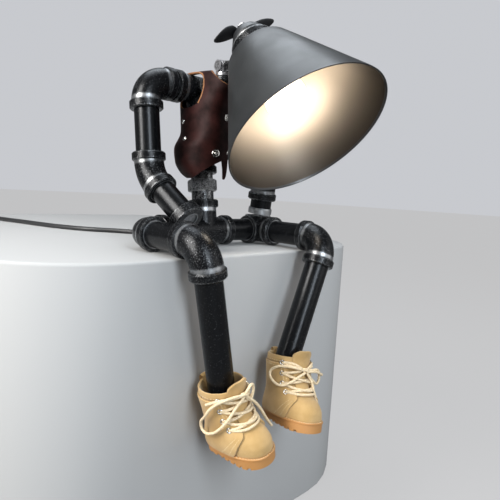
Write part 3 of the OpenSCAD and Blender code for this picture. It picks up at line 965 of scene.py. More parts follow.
@dataclass(frozen=True)
class Hide(Finish):
    """Leather with grain, a change of tone, and a soft sheen."""

    colour: Colour = (0.0085, 0.0026, 0.0022)
    pale: Colour = (0.034, 0.0105, 0.0092)
    rough: float = 0.52
    cell_scale: float = 900.0
    tone_scale: float = 60.0
    relief: float = 0.00012
    nap: float = 0.0
    shine: float = 0.09

    def paint(self, graph: Graph, shader: bpy.types.Node) -> None:
        """Joins the nodes that feed the shader.

        Args:
            graph: the material's graph.
            shader: its Principled BSDF.
        """
        grain = HIDE_GRAIN.use(graph, Cell_Scale=self.cell_scale, Tone_Scale=self.tone_scale)
        tone = grain.outputs["Tone"]
        graph.fill(
            shader,
            Base_Color=graph.blend(tone, self.colour, self.pale),
            Roughness=graph.spread(tone, 0.0, 1.0, self.rough + 0.05, self.rough - 0.05),
            Sheen_Weight=self.nap,
            Sheen_Roughness=0.5,
            Specular_IOR_Level=self.shine,
        )
        self.bump(graph, shader, grain.outputs["Height"], 0.6, self.relief)


@dataclass(frozen=True)
class Woven(Finish):
    """Braided lace or sewing thread, with painted shade in the fine gaps between its fibres."""

    colour: Colour = (0.87, 0.74, 0.52)
    # shade is the painted shade in the gaps between the fibres
    shade: Colour = (0.6, 0.46, 0.28)
    scale: float = 1400.0
    rough: float = 0.85

    def paint(self, graph: Graph, shader: bpy.types.Node) -> None:
        """Joins the nodes that feed the shader.

        Args:
            graph: the material's graph.
            shader: its Principled BSDF.
        """
        where = graph.where()
        cells = graph.node("TexVoronoi", {"Vector": where, "Scale": self.scale}).outputs["Distance"]
        # painted shade: the colour darkens where the cells' gaps lie between the fibres
        deep = graph.spread(cells, 0.15, 0.7)
        graph.fill(shader, Base_Color=graph.blend(deep, self.colour, self.shade), Roughness=self.rough)
        self.bump(graph, shader, cells, -0.6, 0.00015)


class Palette:
    """Every finish of the lamp."""

    FITTING = Iron("fitting iron", "fitting_iron")
    PIPE = Iron(
        "pipe black", "pipe_black", brushed=-0.05, grain_scale=1100.0, gloss=0.27, relief=0.00009
    )
    THREAD = Iron("thread steel", "thread_steel", brushed=0.8, fleck=0.8)
    NECK = Iron("neck iron", "knuckle_steel", brushed=0.36, grain_scale=900.0)
    KNUCKLE = Iron(
        "knuckle steel", "knuckle_steel", black=(0.09, 0.09, 0.095), silver=(0.6, 0.6, 0.62),
        brushed=0.6, fleck=1.0, gloss=0.25, relief=0.00008,
    )
    PIN = Iron(
        "pin metal", "pin_metal", black=(0.5, 0.48, 0.42), silver=(0.75, 0.72, 0.65),
        brushed=0.9, fleck=1.0, gloss=0.25, relief=0.00004,
    )
    SHADE_OUT = Paint("shade paint", "shade_paint", colour=(0.019, 0.0205, 0.021), rough=0.4)
    SHADE_IN = Glow("shade inside", "shade_paint")
    CAP = Paint("cap black", "cap_black", colour=(0.022, 0.023, 0.025), rough=0.34, worn=0.0)
    SWITCH = Paint("switch black", "switch_black", colour=(0.006, 0.006, 0.007), rough=0.46, worn=0.12)
    HOLDER = Paint("lampholder", "lampholder", colour=(0.74, 0.7, 0.62), rough=0.35, worn=0.0)
    BRASS = Paint(
        "brass base", "brass_base", colour=(0.7, 0.52, 0.26), rough=0.3, metallic=0.95, worn=0.0
    )
    RING = Paint("ring black", "cap_black", colour=(0.012, 0.013, 0.014), rough=0.62, worn=0.0)
    BULB = Lit("bulb glass", "bulb_glass")
    VEST = Hide("vest leather", "vest_leather")
    VEST_EDGE = Hide(
        "vest cut edge", "vest_leather", colour=(0.2, 0.088, 0.04), pale=(0.3, 0.145, 0.07),
        rough=0.7, cell_scale=1800.0,
    )
    BOOT = Hide(
        "boot leather", "boot_leather", colour=(0.4, 0.255, 0.1), pale=(0.5, 0.335, 0.15),
        rough=0.72, cell_scale=1500.0, tone_scale=45.0, relief=0.00006, nap=0.25,
    )
    SOLE = Paint(
        "sole rubber", "sole_rubber", colour=(0.47, 0.225, 0.07), rough=0.6, worn=0.0, relief=0.00008
    )
    LACE = Woven("lace", "boot_leather")
    SUEDE = Hide(
        "vest suede", "vest_leather", colour=(0.085, 0.045, 0.03), pale=(0.14, 0.08, 0.05),
        rough=0.85, cell_scale=2600.0, relief=0.00005, nap=0.4,
    )
    LINING = Hide(
        "boot lining", "boot_leather", colour=(0.3, 0.2, 0.1), pale=(0.4, 0.28, 0.15),
        rough=0.85, cell_scale=2200.0, relief=0.00005, nap=0.3,
    )
    # its shade is the painted shade in the gaps between the thread's fibres
    THREAD_PALE = Woven("boot thread", "boot_leather", colour=(0.86, 0.72, 0.48), shade=(0.6, 0.46, 0.26))
    SNAP = Paint("snap metal", "pin_metal", colour=(0.72, 0.7, 0.66), rough=0.2, metallic=1.0, worn=0.0)
    CORD = Paint("cord black", "cord_black", colour=(0.02, 0.02, 0.021), rough=0.45, worn=0.0)


def dress(nodes: Iterable[str], finish: Finish) -> None:
    """Gives CAD nodes a finish on their own material slots.

    Args:
        nodes: the names of the nodes.
        finish: what they are finished in.
    """
    material = finish.material()
    for name in nodes:
        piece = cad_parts[name]
        if not piece.material_slots:
            piece.data.materials.append(material)
        for slot in piece.material_slots:
            slot.material = material
        LOG.info("%s: %s", name, finish.name)


def settle(
    piece: bpy.types.Object, body: str, finishes: Sequence[Finish], replaces: Sequence[str] = ()
) -> bpy.types.Object:
    """Gives a new piece its finishes and its body.

    Args:
        piece: the object.
        body: the CAD body that it rides on.
        finishes: its material slots in order.
        replaces: the CAD nodes that it stands for.

    Returns:
        The same object.
    """
    piece.data.materials.clear()
    for finish in finishes:
        piece.data.materials.append(finish.material())
    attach(piece, body)
    if replaces:
        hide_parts(*replaces)
    LOG.info("%s: on %s, finished in %s", piece.name, body, finishes[0].name)
    return piece


# ---------------------------------------------------------------- studio


@dataclass
class Studio:
    """Camera, plinth, floor and lights."""

    picture: float = 500.0
    sensor: float = 36.0
    focal: float = 477.2
    azimuth: float = -44.39
    pitch: float = -6.92
    roll: float = 3.18
    eye: tuple[float, float, float] = (-280.5, -349.3, 52.0)
    front_edge: float = -63.0
    plinth_depth: float = 480.0
    plinth_half: float = 205.0
    plinth_corner: float = 100.0
    plinth_h: float = 262.0
    plinth_tone: Colour = (0.4, 0.4, 0.395)
    floor_tone: Colour = (0.07, 0.07, 0.07)
    floor_glow: Colour = (0.5, 0.5, 0.505)
    air: Colour = (0.93, 0.95, 1.0)

    def camera(self) -> None:
        """Stands the camera and makes it the scene's."""
        data = bpy.data.cameras.new("camera")
        data.sensor_width = self.sensor
        data.lens = self.sensor * self.focal / self.picture
        data.clip_start = 0.01
        camera = bpy.data.objects.new("camera", data)
        bpy.context.collection.objects.link(camera)
        azimuth, pitch, roll = (math.radians(a) for a in (self.azimuth, self.pitch, self.roll))
        look = Vector(
            (-math.sin(azimuth) * math.cos(pitch), math.cos(azimuth) * math.cos(pitch), math.sin(pitch))
        )
        right = look.cross(Vector((0, 0, 1))).normalized()
        up = right.cross(look)
        right_rolled = math.cos(roll) * right + math.sin(roll) * up
        up_rolled = -math.sin(roll) * right + math.cos(roll) * up
        turn = Matrix((right_rolled, up_rolled, -look)).transposed()
        camera.matrix_world = Matrix.Translation(Vector(self.eye) * MM) @ turn.to_4x4()
        bpy.context.scene.camera = camera

    def plinth(self) -> None:
        """Makes the pale block that the robot sits on, and the floor."""
        half, deep, corner = self.plinth_half, self.plinth_depth, self.plinth_corner
        middle = self.front_edge + deep / 2
        points = []
        for side_x, side_y, start in ((1, -1, 270), (1, 1, 0), (-1, 1, 90), (-1, -1, 180)):
            radius = corner if side_y < 0 else corner * 0.5
            for step in range(9):
                angle = math.radians(start + step * 90 / 8)
                x = side_x * (half - radius) + radius * math.cos(angle)
                y = middle + side_y * (deep / 2 - radius) + radius * math.sin(angle)
                points.append((x * MM, y * MM, -self.plinth_h * MM))
        block = Bench.prism("plinth", points, (0, 0, self.plinth_h * MM))
        Bench.bevel(block, 0.0025, 3, 60)
        Bench.smooth(block)
        Bench.clear()
        bpy.ops.mesh.primitive_plane_add(size=30.0, location=(0, 0, -self.plinth_h * MM))
        floor = Bench.named("floor")
        for piece, colour in ((block, self.plinth_tone), (floor, self.floor_tone)):
            material, graph, shader = blank("stage " + piece.name)
            graph.fill(shader, Base_Color=colour, Roughness=0.7)
            if piece is floor:
                path = graph.node("LightPath")
                mirrored = graph.math("MULTIPLY", path.outputs["Is Glossy Ray"], 0.3)
                seen = graph.math("MAXIMUM", path.outputs["Is Camera Ray"], mirrored)
                graph.fill(shader, Emission_Color=self.floor_glow, Emission_Strength=seen)
            piece.data.materials.append(material)

    def lights(self) -> None:
        """Hangs the soft lights and paints the world."""
        warm, white = (1.0, 0.98, 0.95), (1.0, 1.0, 1.0)
        cool, soft_cool = (0.84, 0.92, 1.0), (0.86, 0.93, 1.0)
        self._area("key", (-1.0, 0.05, 0.55), (-0.05, -0.05, 0.03), (0.4, 0.9), 21.0, warm)
        self._area("front", (-0.35, -1.1, 0.45), (-0.02, -0.05, 0.0), (0.3, 0.9), 12.0, cool)
        self._area("top", (0.15, 0.3, 1.15), (0.0, -0.03, 0.05), (0.8, 0.8), 7.0, soft_cool)
        self._area("fill", (0.6, -1.0, 0.3), (0.0, -0.05, 0.0), (0.9, 0.9), 3.0, white)
        world = bpy.data.worlds.new("studio air")
        bpy.context.scene.world = world
        world.use_nodes = True
        graph = Graph(world.node_tree)
        path = graph.node("LightPath")
        mirrored = graph.spread(path.outputs["Is Glossy Ray"], 0.0, 1.0, 0.4, 0.17)
        seen = graph.spread(path.outputs["Is Camera Ray"], 0.0, 1.0, mirrored, 0.62)
        graph.fill(world.node_tree.nodes["Background"], Color=self.air, Strength=seen)

    @staticmethod
    def _area(
        name: str, place: Point, aim: Point, size: Point, watts: float, colour: Colour
    ) -> None:
        """Hangs one soft light.

        Args:
            name: its name.
            place: where it hangs, in metres.
            aim: the point that it faces.
            size: its width and height in metres.
            watts: its power.
            colour: its colour.
        """
        data = bpy.data.lights.new(name, "AREA")
        data.shape = "RECTANGLE"
        data.energy = watts
        data.color = colour
        data.size, data.size_y = size
        lamp = bpy.data.objects.new(name, data)
        bpy.context.collection.objects.link(lamp)
        lamp.location = place
        lamp.rotation_euler = (Vector(aim) - Vector(place)).to_track_quat("-Z", "Y").to_euler()


# ---------------------------------------------------------------- cord


@dataclass
class MainsCord:
    """The mains cord, its coil, tie and plug."""

    diameter: float = 5.0
    length: float = 1800.0
    turns: int = 4
    centre: tuple[float, float] = (-133.9, 324.0)
    route: tuple[tuple[float, float, float], ...] = (
        (0, 36.6, 14.2), (0, 44.1, 14.1), (0, 52, 12.8), (-0.6, 61, 9), (-1.8, 70, 5.2),
        (-3.6, 79, 3.1), (-6.4, 89, 2.5), (-11, 101, 2.5), (-18, 113, 2.5), (-28, 125, 2.5),
        (-39, 136, 2.5), (-49, 148, 2.5), (-57, 163, 2.5), (-64, 180, 2.5), (-70, 200, 2.5),
        (-75, 221, 2.5), (-80, 244, 2.5), (-86, 266, 2.5), (-90.5, 286, 2.5), (-91.5, 306, 2.5),
    )
    plug_top: tuple[float, float, float] = (-171.4, 303.5, 7.0)
    points_in_turn: int = 16
    # the upper layer is reached within half a turn divided by this
    climb: float = 1.4
    # the tie's ends from the coil's middle, its middle's height, half its height, its width
    tie_far: float = 42.0
    tie_near: float = 16.6
    tie_z: float = 5.4
    tie_half_h: float = 5.6
    tie_widths: float = 5.0

    def line(self) -> list[tuple[float, float, float]]:
        """Gives the cord's centre line.

        Returns:
            The route, both layers of the coil and the way into the plug, in
            millimetres.
        """
        points = list(self.route)
        low = self.diameter / 2
        outer = abs(points[-1][0] - self.centre[0])
        steps = self.turns * self.points_in_turn
        for step in range(steps + 1):
            turn = step / self.points_in_turn
            points.append(self._on_coil(turn, outer - self.diameter * turn, low))
        inner = outer - self.diameter * self.turns
        half = self.points_in_turn // 2
        for step in range(1, half + 1):
            rise = self.diameter * min(1, self.climb * step / half)
            points.append(self._on_coil(step / self.points_in_turn, inner, low + rise))
        for step in range(1, (self.turns - 1) * self.points_in_turn + 1):
            turn = 0.5 + step / self.points_in_turn
            points.append(self._on_coil(turn, inner + self.diameter * (turn - 0.5), low + self.diameter))
        end = self.plug_top
        points.append(tuple((a + b) / 2 for a, b in zip(points[-1], end)))
        points.append((end[0], end[1] - 4, end[2]))
        return points

    def _on_coil(self, turn: float, radius: float, z: float) -> tuple[float, float, float]:
        """Gives a point of the coil.

        Args:
            turn: turns from the side where the cord arrives.
            radius: distance from the coil's middle.
            z: height of the cord's centre.

        Returns:
            The point in millimetres.
        """
        angle = math.tau * turn
        return (
            self.centre[0] + radius * math.cos(angle),
            self.centre[1] + radius * math.sin(angle),
            z,
        )

    def build(self) -> None:
        """Models the cord and the tie, and dresses the plug."""
        line = [tuple(c * MM for c in p) for p in self.line()]
        measured = sum(math.dist(a, b) for a, b in zip(line, line[1:]))
        LOG.info("cord: %.3f m along %d points", measured, len(line))
        cord = Bench.wire("mains_cord", line, self.diameter / 2 * MM, 3, 4)
        settle(cord, "frame", [Palette.CORD], ["cord_tube", "cord_coil"])
        tie = self.tie()
        dress(["plug_body", "strain_relief"], Palette.CORD)
        dress(["plug_pins"], Palette.PIN)

    def tie(self) -> bpy.types.Object:
        """Models the flat tie round the coil.

        Returns:
            The tie.
        """
        x, middle = self.centre
        near, far = middle - self.tie_far, middle - self.tie_near
        points = []
        for step in range(25):
            angle = math.tau * step / 24
            y = (near + far) / 2 + (far - near) / 2 * power(math.cos(angle), 0.5)
            z = self.tie_z + self.tie_half_h * power(math.sin(angle), 0.5)
            points.append((x * MM, y * MM, max(z, 0.5) * MM))
        tie = Bench.strand("cord_tie", points, 0.0005, 2)
        Bench.widen(tie, self.tie_widths, (x * MM, middle * MM, 0))
        return settle(tie, "frame", [Palette.CORD])


# ---------------------------------------------------------------- iron work


@dataclass
class PipeWork:
    """The pipes and fittings of the body and limbs."""

    fittings: tuple[str, ...] = (
        "pelvis_tee", "right_hip_elbow", "left_hip_corner", "torso_coupling", "shoulder_tee",
        "left_shoulder_elbow", "left_elbow", "left_forearm_coupling", "right_shoulder_elbow",
        "right_elbow", "right_knee_elbow", "left_knee_elbow", "right_hand",
    )
    pipes: tuple[str, ...] = (
        "right_hip_nipple", "left_hip_nipple", "right_thigh_pipe", "left_thigh_pipe",
        "torso_pipe", "right_shoulder_nipple", "left_shoulder_nipple", "left_upper_arm",
        "left_forearm_pipe", "left_wrist_pipe", "right_upper_arm", "right_forearm_pipe",
        "right_shin_pipe",
    )
    threads: tuple[str, ...] = ("waist_nipple", "hand_bushing")
    # the left shin pipe: its radii, and its ends below the knee
    shin_out: float = 10.65
    shin_in: float = 7.85
    shin_top: float = -16.0
    shin_foot: float = -128.5

    def build(self) -> None:
        """Dresses the iron."""
        dress(self.fittings, Palette.FITTING)
        dress(self.pipes, Palette.PIPE)
        dress(self.threads, Palette.THREAD)
        self._left_shin()

    def _left_shin(self) -> bpy.types.Object:
        """Turns the left shin pipe, which ends inside the turned boot.

        Returns:
            The pipe.
        """
        outer, inner, top, foot = self.shin_out, self.shin_in, self.shin_top, self.shin_foot
        profile = [(inner, top), (outer - 0.5, top), (outer, top - 0.5)]
        profile += [(outer, top - 0.5 + (foot - top + 1) * i / 12) for i in range(1, 12)]
        profile += [(outer, foot + 0.5), (outer - 0.5, foot), (inner, foot), (inner, top)]
        piece = Bench.lathe("left_shin", profile, 64)
        settle(piece, "left_leg", [Palette.PIPE], ["left_shin_pipe"])
        Bench.place(piece, STANCE.matrix(Limb.LEFT_LEG))
        Bench.smooth(piece, 40)
        return piece


@dataclass
class Head:
    """The shade, the bulb in it, the switch on top and the knuckle behind."""

    hub_at: float = 29.0
    handle_turn: float = 34.0
    # radius and height
    hub: tuple[tuple[float, float], ...] = (
        (3.55, 0), (6.1, 0), (6.5, 0.4), (6.5, 4.2), (6.1, 5.3), (5.2, 6), (3.55, 6), (3.55, 0),
    )
    # reach, half width, middle, half thickness
    wing: tuple[tuple[float, ...], ...] = (
        (5.2, 3.4, 0, 1.5), (8, 5.2, 0.6, 1.4), (11, 6.6, 1.1, 1.2), (15, 6.9, 0.8, 1.1),
        (19, 6.1, 0, 1.05), (23, 4.3, -1.1, 1), (25.6, 2.6, -1.8, 0.9), (27, 1.2, -2.1, 0.7),
        (27.4, 0.01, -2.2, 0.01),
    )
    # how much the wings curl up towards their long edges
    curl: float = 0.022
    wing_z: float = 3.0
    shade_depth: float = 85.0
    mouth_r: float = 65.0
    back_r: float = 28.5
    sheet: float = 1.0
    hole_r: float = 9.0

    def build(self) -> None:
        """Dresses the head."""
        dress(["neck_stub", "neck_elbow", "head_link"], Palette.NECK)
        dress(["swivel_fork", "swivel_pin", "switch_stem", "handle_nut"], Palette.KNUCKLE)
        dress(["holder_cap"], Palette.CAP)
        dress(["shade_ring"], Palette.RING)
        dress(["lampholder"], Palette.HOLDER)
        dress(["bulb_base"], Palette.BRASS)
        dress(["bulb_glass"], Palette.BULB)
        self.handle()
        self.shade()

    def handle(self) -> bpy.types.Object:
        """Casts the butterfly handle: a hub and two leaf-shaped wings.

        Returns:
            The handle.
        """
        parts = [Bench.lathe("hub", self.hub, 48)]
        root, tip = self.wing[0][0], self.wing[-1][0]
        for side in (0, 180):
            Bench.clear()
            bpy.ops.mesh.primitive_uv_sphere_add(segments=64, ring_count=32, radius=1.0)
            leaf = Bench.named("wing")
            for vertex in leaf.data.vertices:
                x, y, z = vertex.co
                ring = max(1e-4, math.sqrt(max(0.0, 1 - x * x)))
                reach = root + (tip - root) / 2 * (x + 1)
                half, middle, thick = along(self.wing, reach)
                across = half * y / ring
                height = self.wing_z + thick * z / ring + self.curl * across * across
                vertex.co = (reach, middle + across, height)
            turn = Matrix.Rotation(math.radians(side - self.handle_turn), 4, "Z")
            parts.append(Bench.place(leaf, turn))
        piece = Bench.join("butterfly_handle", parts)
        Bench.tidy(piece, 0.01)
        settle(piece, "switch", [Palette.SWITCH], ["switch_handle"])
        Bench.place(piece, STANCE.matrix(Limb.HEAD) @ Matrix.Translation((0, 0, self.hub_at)))
        Bench.smooth(piece, 40)
        return piece

    def shade(self) -> bpy.types.Object:
        """Spins the shade from one sheet, painted outside and satin inside.

        Returns:
            The shade.
        """
        depth, mouth, back = self.shade_depth, self.mouth_r, self.back_r
        sheet, hole = self.sheet, self.hole_r
        flare = (mouth - back) / depth
        rings = (20.0, 42.0, 64.0, depth - 1.5)
        profile = [(hole, 0.0), (back - 1.5, 0.0), (back - 0.4, -0.4), (back + flare, -1.4)]
        profile += [(back + flare * z, -z) for z in rings]
        profile += [(mouth - 0.15, -depth), (mouth - sheet, -depth)]
        profile += [(back + flare * z - sheet * 1.08, -z) for z in (*rings[::-1], 2.6)]
        profile += [(back - 2.4, -sheet), (hole, -sheet), (hole, 0.0)]
        piece = Bench.lathe("lamp_shade", profile, 96)
        settle(piece, "head", [Palette.SHADE_OUT, Palette.SHADE_IN, Palette.CAP], ["shade"])
        for face in piece.data.polygons:
            middle = face.center
            radial = Vector((middle.x, middle.y, 0)).normalized()
            facing = face.normal.dot(radial)
            if middle.z < -depth + 0.8:
                face.material_index = 2
            elif facing < -0.5 or (middle.z < -0.5 and face.normal.z < -0.5):
                face.material_index = 1
        Bench.place(piece, STANCE.matrix(Limb.HEAD))
        Bench.smooth(piece, 40)
        return piece


# ---------------------------------------------------------------- clothes


@dataclass
class Vest:
    """The leather vest: one wrapped hide with armholes, a neck and snaps."""

    thick: float = 1.8
    crown: float = 156.6
    wrap_start: float = -24.0
    wrap_end: float = 354.0
    squareness: float = 0.86
    # where the under layer starts to tuck in, over how many degrees, and how deep
    tuck_from: float = 285.0
    tuck_over: float = 35.0
    tuck: float = 2.3
    # the soft folds: their depth, and the height at which they have faded out
    fold: float = 1.1
    fold_top: float = 150.0
    fold_fade: float = 20.0
    # the front edge of the left armhole is in the under layer, this far further in
    under: float = 1.4
    under_front: float = 8.0
    # height, half width, front depth, back depth, middle
    levels: tuple[tuple[float, ...], ...] = (
        (56, 17.5, 20.5, 20.5, -0.6), (66, 22.5, 24.2, 24.2, 3), (76, 25, 26, 26, 6),
        (88, 25, 27.5, 27, 8), (103, 19.2, 27.6, 24.8, 6.6), (116, 18.4, 28, 24.6, 8),
        (126, 18, 30.5, 24.6, 9), (134, 16.4, 35, 24, 11), (141, 15, 40, 23, 12),
        (149, 14.4, 41.5, 20, 13.5), (153.4, 13.6, 40, 16.5, 15.5), (155.7, 12.4, 34, 13, 17),
        (156.4, 8, 20, 8, 17.5), (156.6, 0.01, 0.01, 0.01, 17.5),
    )
    # angle from the front towards the right arm, height of the hem
    hem: tuple[tuple[float, float], ...] = (
        (-24, 92), (-17, 86.6), (-3, 78.7), (11, 75), (27, 71.4), (45, 67.6), (62, 63.8),
        (80, 61.4), (98, 61.3), (115, 66), (135, 76), (160, 80), (200, 80), (270, 80),
        (300, 82), (322, 80), (335, 70), (342, 63), (347, 61.5), (350, 66), (354, 84),
    )
    armhole: tuple[tuple[float, float], ...] = (
        (-3.5, 127), (-5.4, 132), (-6.6, 138), (-6.6, 146), (-5, 150.6), (0, 153.8), (8, 154.9),
        (18, 155), (26, 154.4), (30, 151), (31.5, 141), (29.5, 132), (24, 126), (14, 123.6),
        (4, 123.8),
    )
    neckline: tuple[tuple[float, float], ...] = (
        (-6, 159.5), (-19, 149), (-31, 139.5), (-60, 139.5), (-60, 175), (-6, 175),
    )
    # angle, height, radius, how far under the outer layer
    snaps: tuple[tuple[float, float, float, float], ...] = (
        (104, 111.8, 2.1, 0), (88, 96.1, 2.1, 0), (-12, 116.4, 3.1, 0), (11, 84.2, 3.5, 0),
        (337, 86.5, 2.1, 1.6),
    )
    # snaps wider than this have a ring, the others a dome; share of the radius and height
    ring_from: float = 2.5
    snap_rim: tuple[tuple[float, float], ...] = (
        (0, -0.4), (1, -0.4), (1.04, 0.1), (0.94, 0.65), (0.8, 0.8),
    )
    snap_ring: tuple[tuple[float, float], ...] = (
        (0.66, 0.35), (0.45, 0.35), (0.36, 0.8), (0.2, 1.15), (0, 1.25),
    )
    snap_dome: tuple[tuple[float, float], ...] = ((0.6, 1.15), (0.3, 1.4), (0, 1.5))

    def spot(self, degrees: float, z: float, inset: float = 0.0) -> Vector:
        """Finds a point on the outside of the vest.

        Args:
            degrees: the angle from the front towards the right arm.
            z: the height.
            inset: how far inside the surface it lies.

        Returns:
            The point in millimetres.
        """
        half, front, back, middle = along(self.levels, z)
        angle = math.radians(degrees)
        depth = front if math.cos(angle) > 0 else back
        fold = 0.0
        if z < self.fold_top:
            place = Vector((math.sin(angle) * 1.3, math.cos(angle) * 1.3, z * 0.035))
            fading = min(1, (self.fold_top - z) / self.fold_fade)
            fold = self.fold * (noise.noise(place) - 0.1) * fading
        x = -(half - inset + fold) * power(math.sin(angle), self.squareness)
        return Vector((x, middle - (depth - inset + fold) * math.cos(angle), z))

    def build(self) -> None:
        """Cuts the hide, wraps it, opens it and presses the snaps in."""
        hide = Bench.mapped("vest", 132, 72, self._wrapped)
        Bench.tidy(hide, 0.02)
        Bench.apply(
            hide, "SOLIDIFY", thickness=self.thick, offset=-1.0, material_offset=1, material_offset_rim=2
        )
        neck_hole = [(-7, -60, 149), (7, -60, 149), (7, -60, 175), (-7, -60, 175)]
        cutters = [
            Bench.prism("armhole", [(-60, y, z) for y, z in self.armhole], (120, 0, 0)),
            Bench.prism("neckline", [(-40, y, z) for y, z in self.neckline], (80, 0, 0)),
            Bench.prism("neck", neck_hole, (0, 94, 0)),
        ]
        settle(hide, "frame", [Palette.VEST, Palette.SUEDE, Palette.VEST_EDGE], ["vest"])
        for cutter in cutters:
            cutter.data.materials.append(Palette.VEST_EDGE.material())
            Bench.apply(
                hide, "BOOLEAN", object=cutter, operation="DIFFERENCE", solver="EXACT",
                use_self=True, material_mode="TRANSFER",
            )
            bpy.data.objects.remove(cutter)
        Bench.place(hide, STANCE.matrix(Limb.WORLD))
        Bench.smooth(hide, 38)
        edges = [Bench.strand("edge", self._armhole_line(side), 0.95, 3) for side in (1, -1)]
        rolled = Bench.join("vest_edges", edges)
        settle(rolled, "frame", [Palette.VEST_EDGE])
        Bench.place(rolled, STANCE.matrix(Limb.WORLD))
        piece = Bench.join("vest_snaps", [self._snap(*values) for values in self.snaps])
        settle(piece, "frame", [Palette.SNAP])
        Bench.smooth(piece, 40)

    def _armhole_line(self, side: int) -> list[Vector]:
        """Follows the raw edge of one armhole, from its back round its front.

        Args:
            side: 1 for the right armhole, -1 for the left.

        Returns:
            The line in millimetres.
        """
        line = []
        for y, z in self.armhole[8::-1]:
            half, front, back, middle = along(self.levels, z)
            share = (middle - y) / (front if y < middle else back)
            tucked = side < 0 and y < self.under_front
            inset = self.thick / 2 + (self.under if tucked else 0.0)
            round_by = power(math.sqrt(max(0.02, 1 - share * share)), self.squareness)
            line.append(Vector((-side * ((half - inset) * round_by), y, z)))
        return line

    def _wrapped(self, across: float, up: float) -> Vector:
        """Gives the hide's place for a share of its width and height.

        Args:
            across: the share of the way round, from the edge that lies on top.
            up: the share of the way from the hem to the crown.

        Returns:
            The place in millimetres.
        """
        degrees = self.wrap_start + across * (self.wrap_end - self.wrap_start)
        low = along(self.hem, degrees)[0]
        z = low + (self.crown - low) * (1 - (1 - up) ** 1.7)
        under = min(1.0, max(0.0, (degrees - self.tuck_from) / self.tuck_over))
        return self.spot(degrees, z, self.tuck * under * under * (3 - 2 * under))

    def _snap(self, degrees: float, z: float, radius: float, inset: float) -> bpy.types.Object:
        """Turns one snap and presses it on the vest.

        Args:
            degrees: its angle on the vest.
            z: its height.
            radius: its radius.
            inset: how far under the outer layer it lies.

        Returns:
            The snap in its place.
        """
        head = self.snap_ring if radius > self.ring_from else self.snap_dome
        profile = [(radius * share, height) for share, height in (*self.snap_rim, *head)]
        snap = Bench.lathe("snap", profile, 24)
        here = self.spot(degrees, z, inset)
        beside = self.spot(degrees + 3, z, inset) - here
        above = self.spot(degrees, z + 2, inset) - here
        out = above.cross(beside).normalized()
        if out.dot(here - Vector((0, 10, z))) < 0:
            out = -out
        return Bench.place(snap, STANCE.matrix(Limb.WORLD) @ Matrix.Translation(here) @ standing(out))


